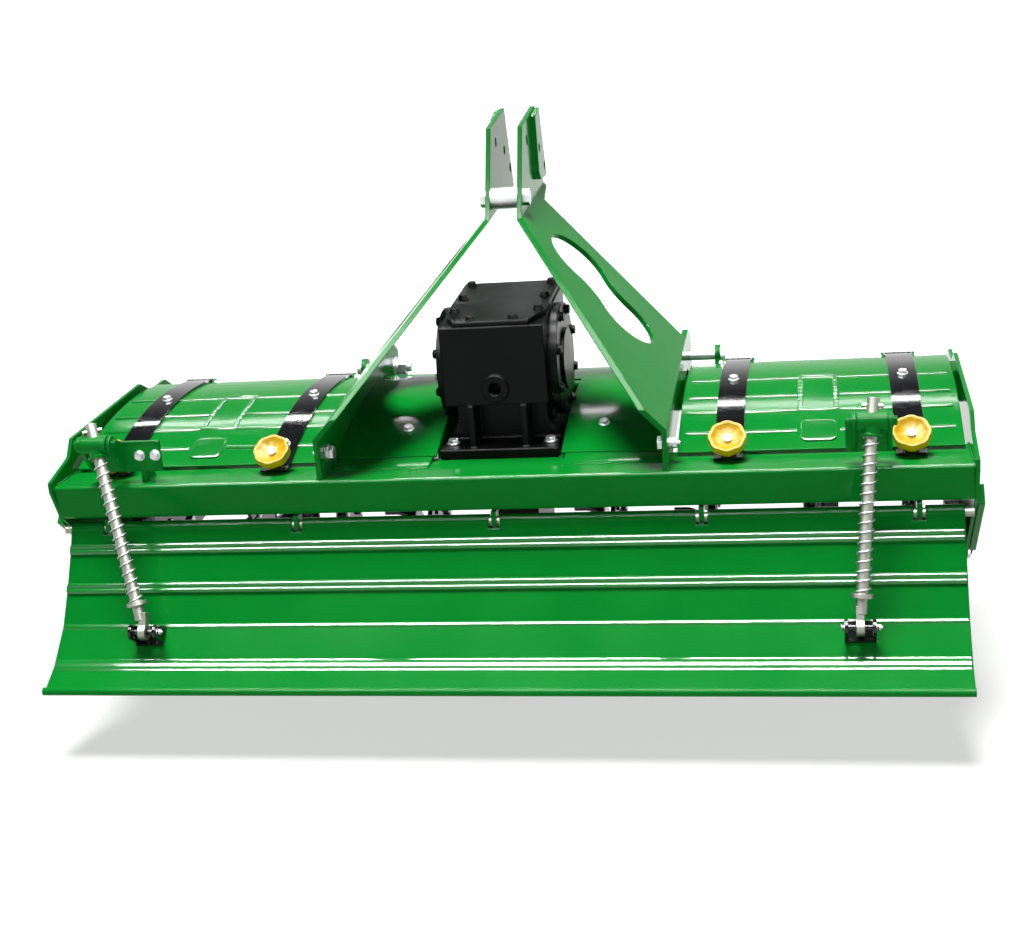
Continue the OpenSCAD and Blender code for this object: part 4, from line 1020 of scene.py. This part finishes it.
class TILLER_OT_stage(bpy.types.Operator):
    """Sets the floor, the light and the camera"""

    bl_idname = "tiller.stage"
    bl_label = "Stage"

    def execute(self, context):
        stage = context.scene.tiller_stage
        self.floor(stage)
        self.world(context.scene)
        self.lights(stage)
        self.camera(context.scene, stage)
        context.scene.view_settings.view_transform = "Standard"
        return {"FINISHED"}

    def floor(self, stage):
        """A wide floor of pale, matt backdrop paper that shows white and keeps the shadow."""
        floor = fresh("floor", bpy.ops.mesh.primitive_plane_add, size=FAR,
                      location=(0, 0, CAD_BOX[0][2]))
        settle(floor)
        tree, shader, place = blank("pale_floor")
        shader.inputs["Base Color"].default_value = stage.floor
        shader.inputs["Roughness"].default_value = 0.9
        shader.inputs["Specular IOR Level"].default_value = 0.0
        far = add(tree, "ShaderNodeVectorMath", {0: place}, operation="LENGTH").outputs["Value"]
        glow = add(tree, "ShaderNodeMapRange",
                   {"Value": far, "From Min": WHITE_FROM, "From Max": WHITE_AT,
                    "To Min": FLOOR_GLOW, "To Max": 1.0}).outputs[0]
        seen = add(tree, "ShaderNodeMath", {0: self.shown(tree, 0.0, 1.0), 1: glow},
                   operation="MULTIPLY")
        tree.links.new(seen.outputs[0], shader.inputs["Emission Strength"])
        shader.inputs["Emission Color"].default_value = (1, 1, 1, 1)
        floor.data.materials.append(bpy.data.materials["pale_floor"])

    def shown(self, tree, unseen, seen):
        """A level that differs between what is lit and what the camera, gloss and glass show."""
        light = add(tree, "ShaderNodeLightPath")
        any_ray = light.outputs["Is Camera Ray"]
        for kind in ("Is Glossy Ray", "Is Transmission Ray"):
            any_ray = add(tree, "ShaderNodeMath", {0: any_ray, 1: light.outputs[kind]},
                          operation="MAXIMUM").outputs[0]
        return add(tree, "ShaderNodeMapRange",
                   {"Value": any_ray, "To Min": unseen, "To Max": seen}).outputs[0]

    def world(self, scene):
        """Pale walls that fade to a grey ceiling."""
        world = bpy.data.worlds.new("studio")
        scene.world = world
        world.use_nodes = True
        tree = world.node_tree
        back = tree.nodes["Background"]
        way = add(tree, "ShaderNodeTexCoord").outputs["Generated"]
        height = add(tree, "ShaderNodeSeparateXYZ", {0: way}).outputs["Z"]
        rise = add(tree, "ShaderNodeMapRange",
                   {"Value": height, "From Min": WALL_TOP, "From Max": CEILING_EDGE})
        tone = add(tree, "ShaderNodeMix", {0: rise.outputs[0], 6: (1, 1, 1, 1), 7: CEILING},
                   data_type="RGBA")
        ambient = 0.5
        tree.links.new(tone.outputs[2], back.inputs["Color"])
        tree.links.new(self.shown(tree, ambient, 1.0), back.inputs["Strength"])

    def lights(self, stage):
        """A broad soft light overhead and long strip lights that draw streaks along the bends."""
        aim, sun_from, sun_spread = Vector((0, 0, 0.4)), Vector((-0.1, 0.02, 1)), 24
        bpy.ops.object.light_add(type="SUN", location=(-1, -2, 5))
        key = bpy.context.object
        key.name = "key_light"
        key.data.angle = math.radians(sun_spread)
        key.visible_glossy = False
        key.data.energy = stage.key
        key.rotation_euler = (-sun_from).to_track_quat("-Z", "Y").to_euler()
        strip_length = 4.5
        # Place, width and share of the power
        strips = {
            "rear": ((0, -2.2, 3.2), 0.16, 1.0),
            "middle": ((0, -0.75, 3.6), 0.8, 1.6),
            "ahead": ((0, 0.95, 3.6), 0.2, 1.0),
            "front": ((0, 2.4, 2.6), 0.05, 0.16),
        }
        for name, (spot, width, share) in strips.items():
            bpy.ops.object.light_add(type="AREA", location=spot)
            lamp = bpy.context.object
            lamp.name = f"{name}_strip"
            lamp.data.shape = "RECTANGLE"
            lamp.data.size, lamp.data.size_y = strip_length, width
            lamp.data.energy = share * stage.strip
            lamp.visible_diffuse = False
            lamp.rotation_euler = (aim - Vector(spot)).to_track_quat("-Z", "Y").to_euler()

    def camera(self, scene, stage):
        """Camera behind the machine, to its right and above, as in the reference view."""
        spot = at(629, -2857, 869)
        yaw, pitch, bank = (math.radians(a) for a in (11.58, 16.34, -4.82))
        ahead = Vector((-math.sin(yaw) * math.cos(pitch), math.cos(yaw) * math.cos(pitch),
                        -math.sin(pitch)))
        level = Vector((math.cos(yaw), math.sin(yaw), 0))
        upright = level.cross(ahead)
        right = math.cos(bank) * level + math.sin(bank) * upright
        up = math.cos(bank) * upright - math.sin(bank) * level
        turn = Matrix((right, up, -ahead)).transposed().to_4x4()
        bpy.ops.object.camera_add()
        camera = bpy.context.object
        camera.matrix_world = Matrix.Translation(spot) @ turn
        camera.data.sensor_fit = "HORIZONTAL"
        camera.data.sensor_width = 36
        camera.data.lens = stage.lens
        camera.data.clip_end = FAR
        scene.camera = camera


class TILLER_PT_panel(bpy.types.Panel):
    """Lists the steps that dress the tiller"""

    bl_idname = "TILLER_PT_panel"
    bl_label = "Rotary tiller"
    bl_space_type = "VIEW_3D"
    bl_region_type = "UI"
    bl_category = "Tiller"

    def draw(self, context):
        for group in SETTINGS:
            settings = getattr(context.scene, group)
            for name in settings.bl_rna.properties.keys():
                if name not in ("rna_type", "name"):
                    self.layout.prop(settings, name)
        for step in STEPS:
            self.layout.operator(step.bl_idname)


SETTINGS = {
    "tiller_paint": PaintSettings,
    "tiller_fasteners": FastenerSettings,
    "tiller_springs": SpringSettings,
    "tiller_knobs": KnobSettings,
    "tiller_press": PressSettings,
    "tiller_stage": StageSettings,
}
STEPS = (
    TILLER_OT_finishes,
    TILLER_OT_springs,
    TILLER_OT_knobs,
    TILLER_OT_pressings,
    TILLER_OT_tail_ridges,
    TILLER_OT_deck_lips,
    TILLER_OT_bolts,
    TILLER_OT_tine_bolts,
    TILLER_OT_welds,
    TILLER_OT_stage,
)


def register():
    for group, settings in SETTINGS.items():
        bpy.utils.register_class(settings)
        setattr(bpy.types.Scene, group, PointerProperty(type=settings))
    for step in STEPS:
        bpy.utils.register_class(step)
    bpy.utils.register_class(TILLER_PT_panel)


def unregister():
    bpy.utils.unregister_class(TILLER_PT_panel)
    for step in reversed(STEPS):
        bpy.utils.unregister_class(step)
    for group, settings in SETTINGS.items():
        delattr(bpy.types.Scene, group)
        bpy.utils.unregister_class(settings)


def main():
    register()
    bpy.ops.tiller.finishes()
    bpy.ops.tiller.springs()
    bpy.ops.tiller.knobs()
    bpy.ops.tiller.pressings()
    bpy.ops.tiller.tail_ridges()
    bpy.ops.tiller.deck_lips()
    bpy.ops.tiller.bolts()
    bpy.ops.tiller.tine_bolts()
    bpy.ops.tiller.welds()
    bpy.ops.tiller.stage()


if __name__ == "__main__":
    main()
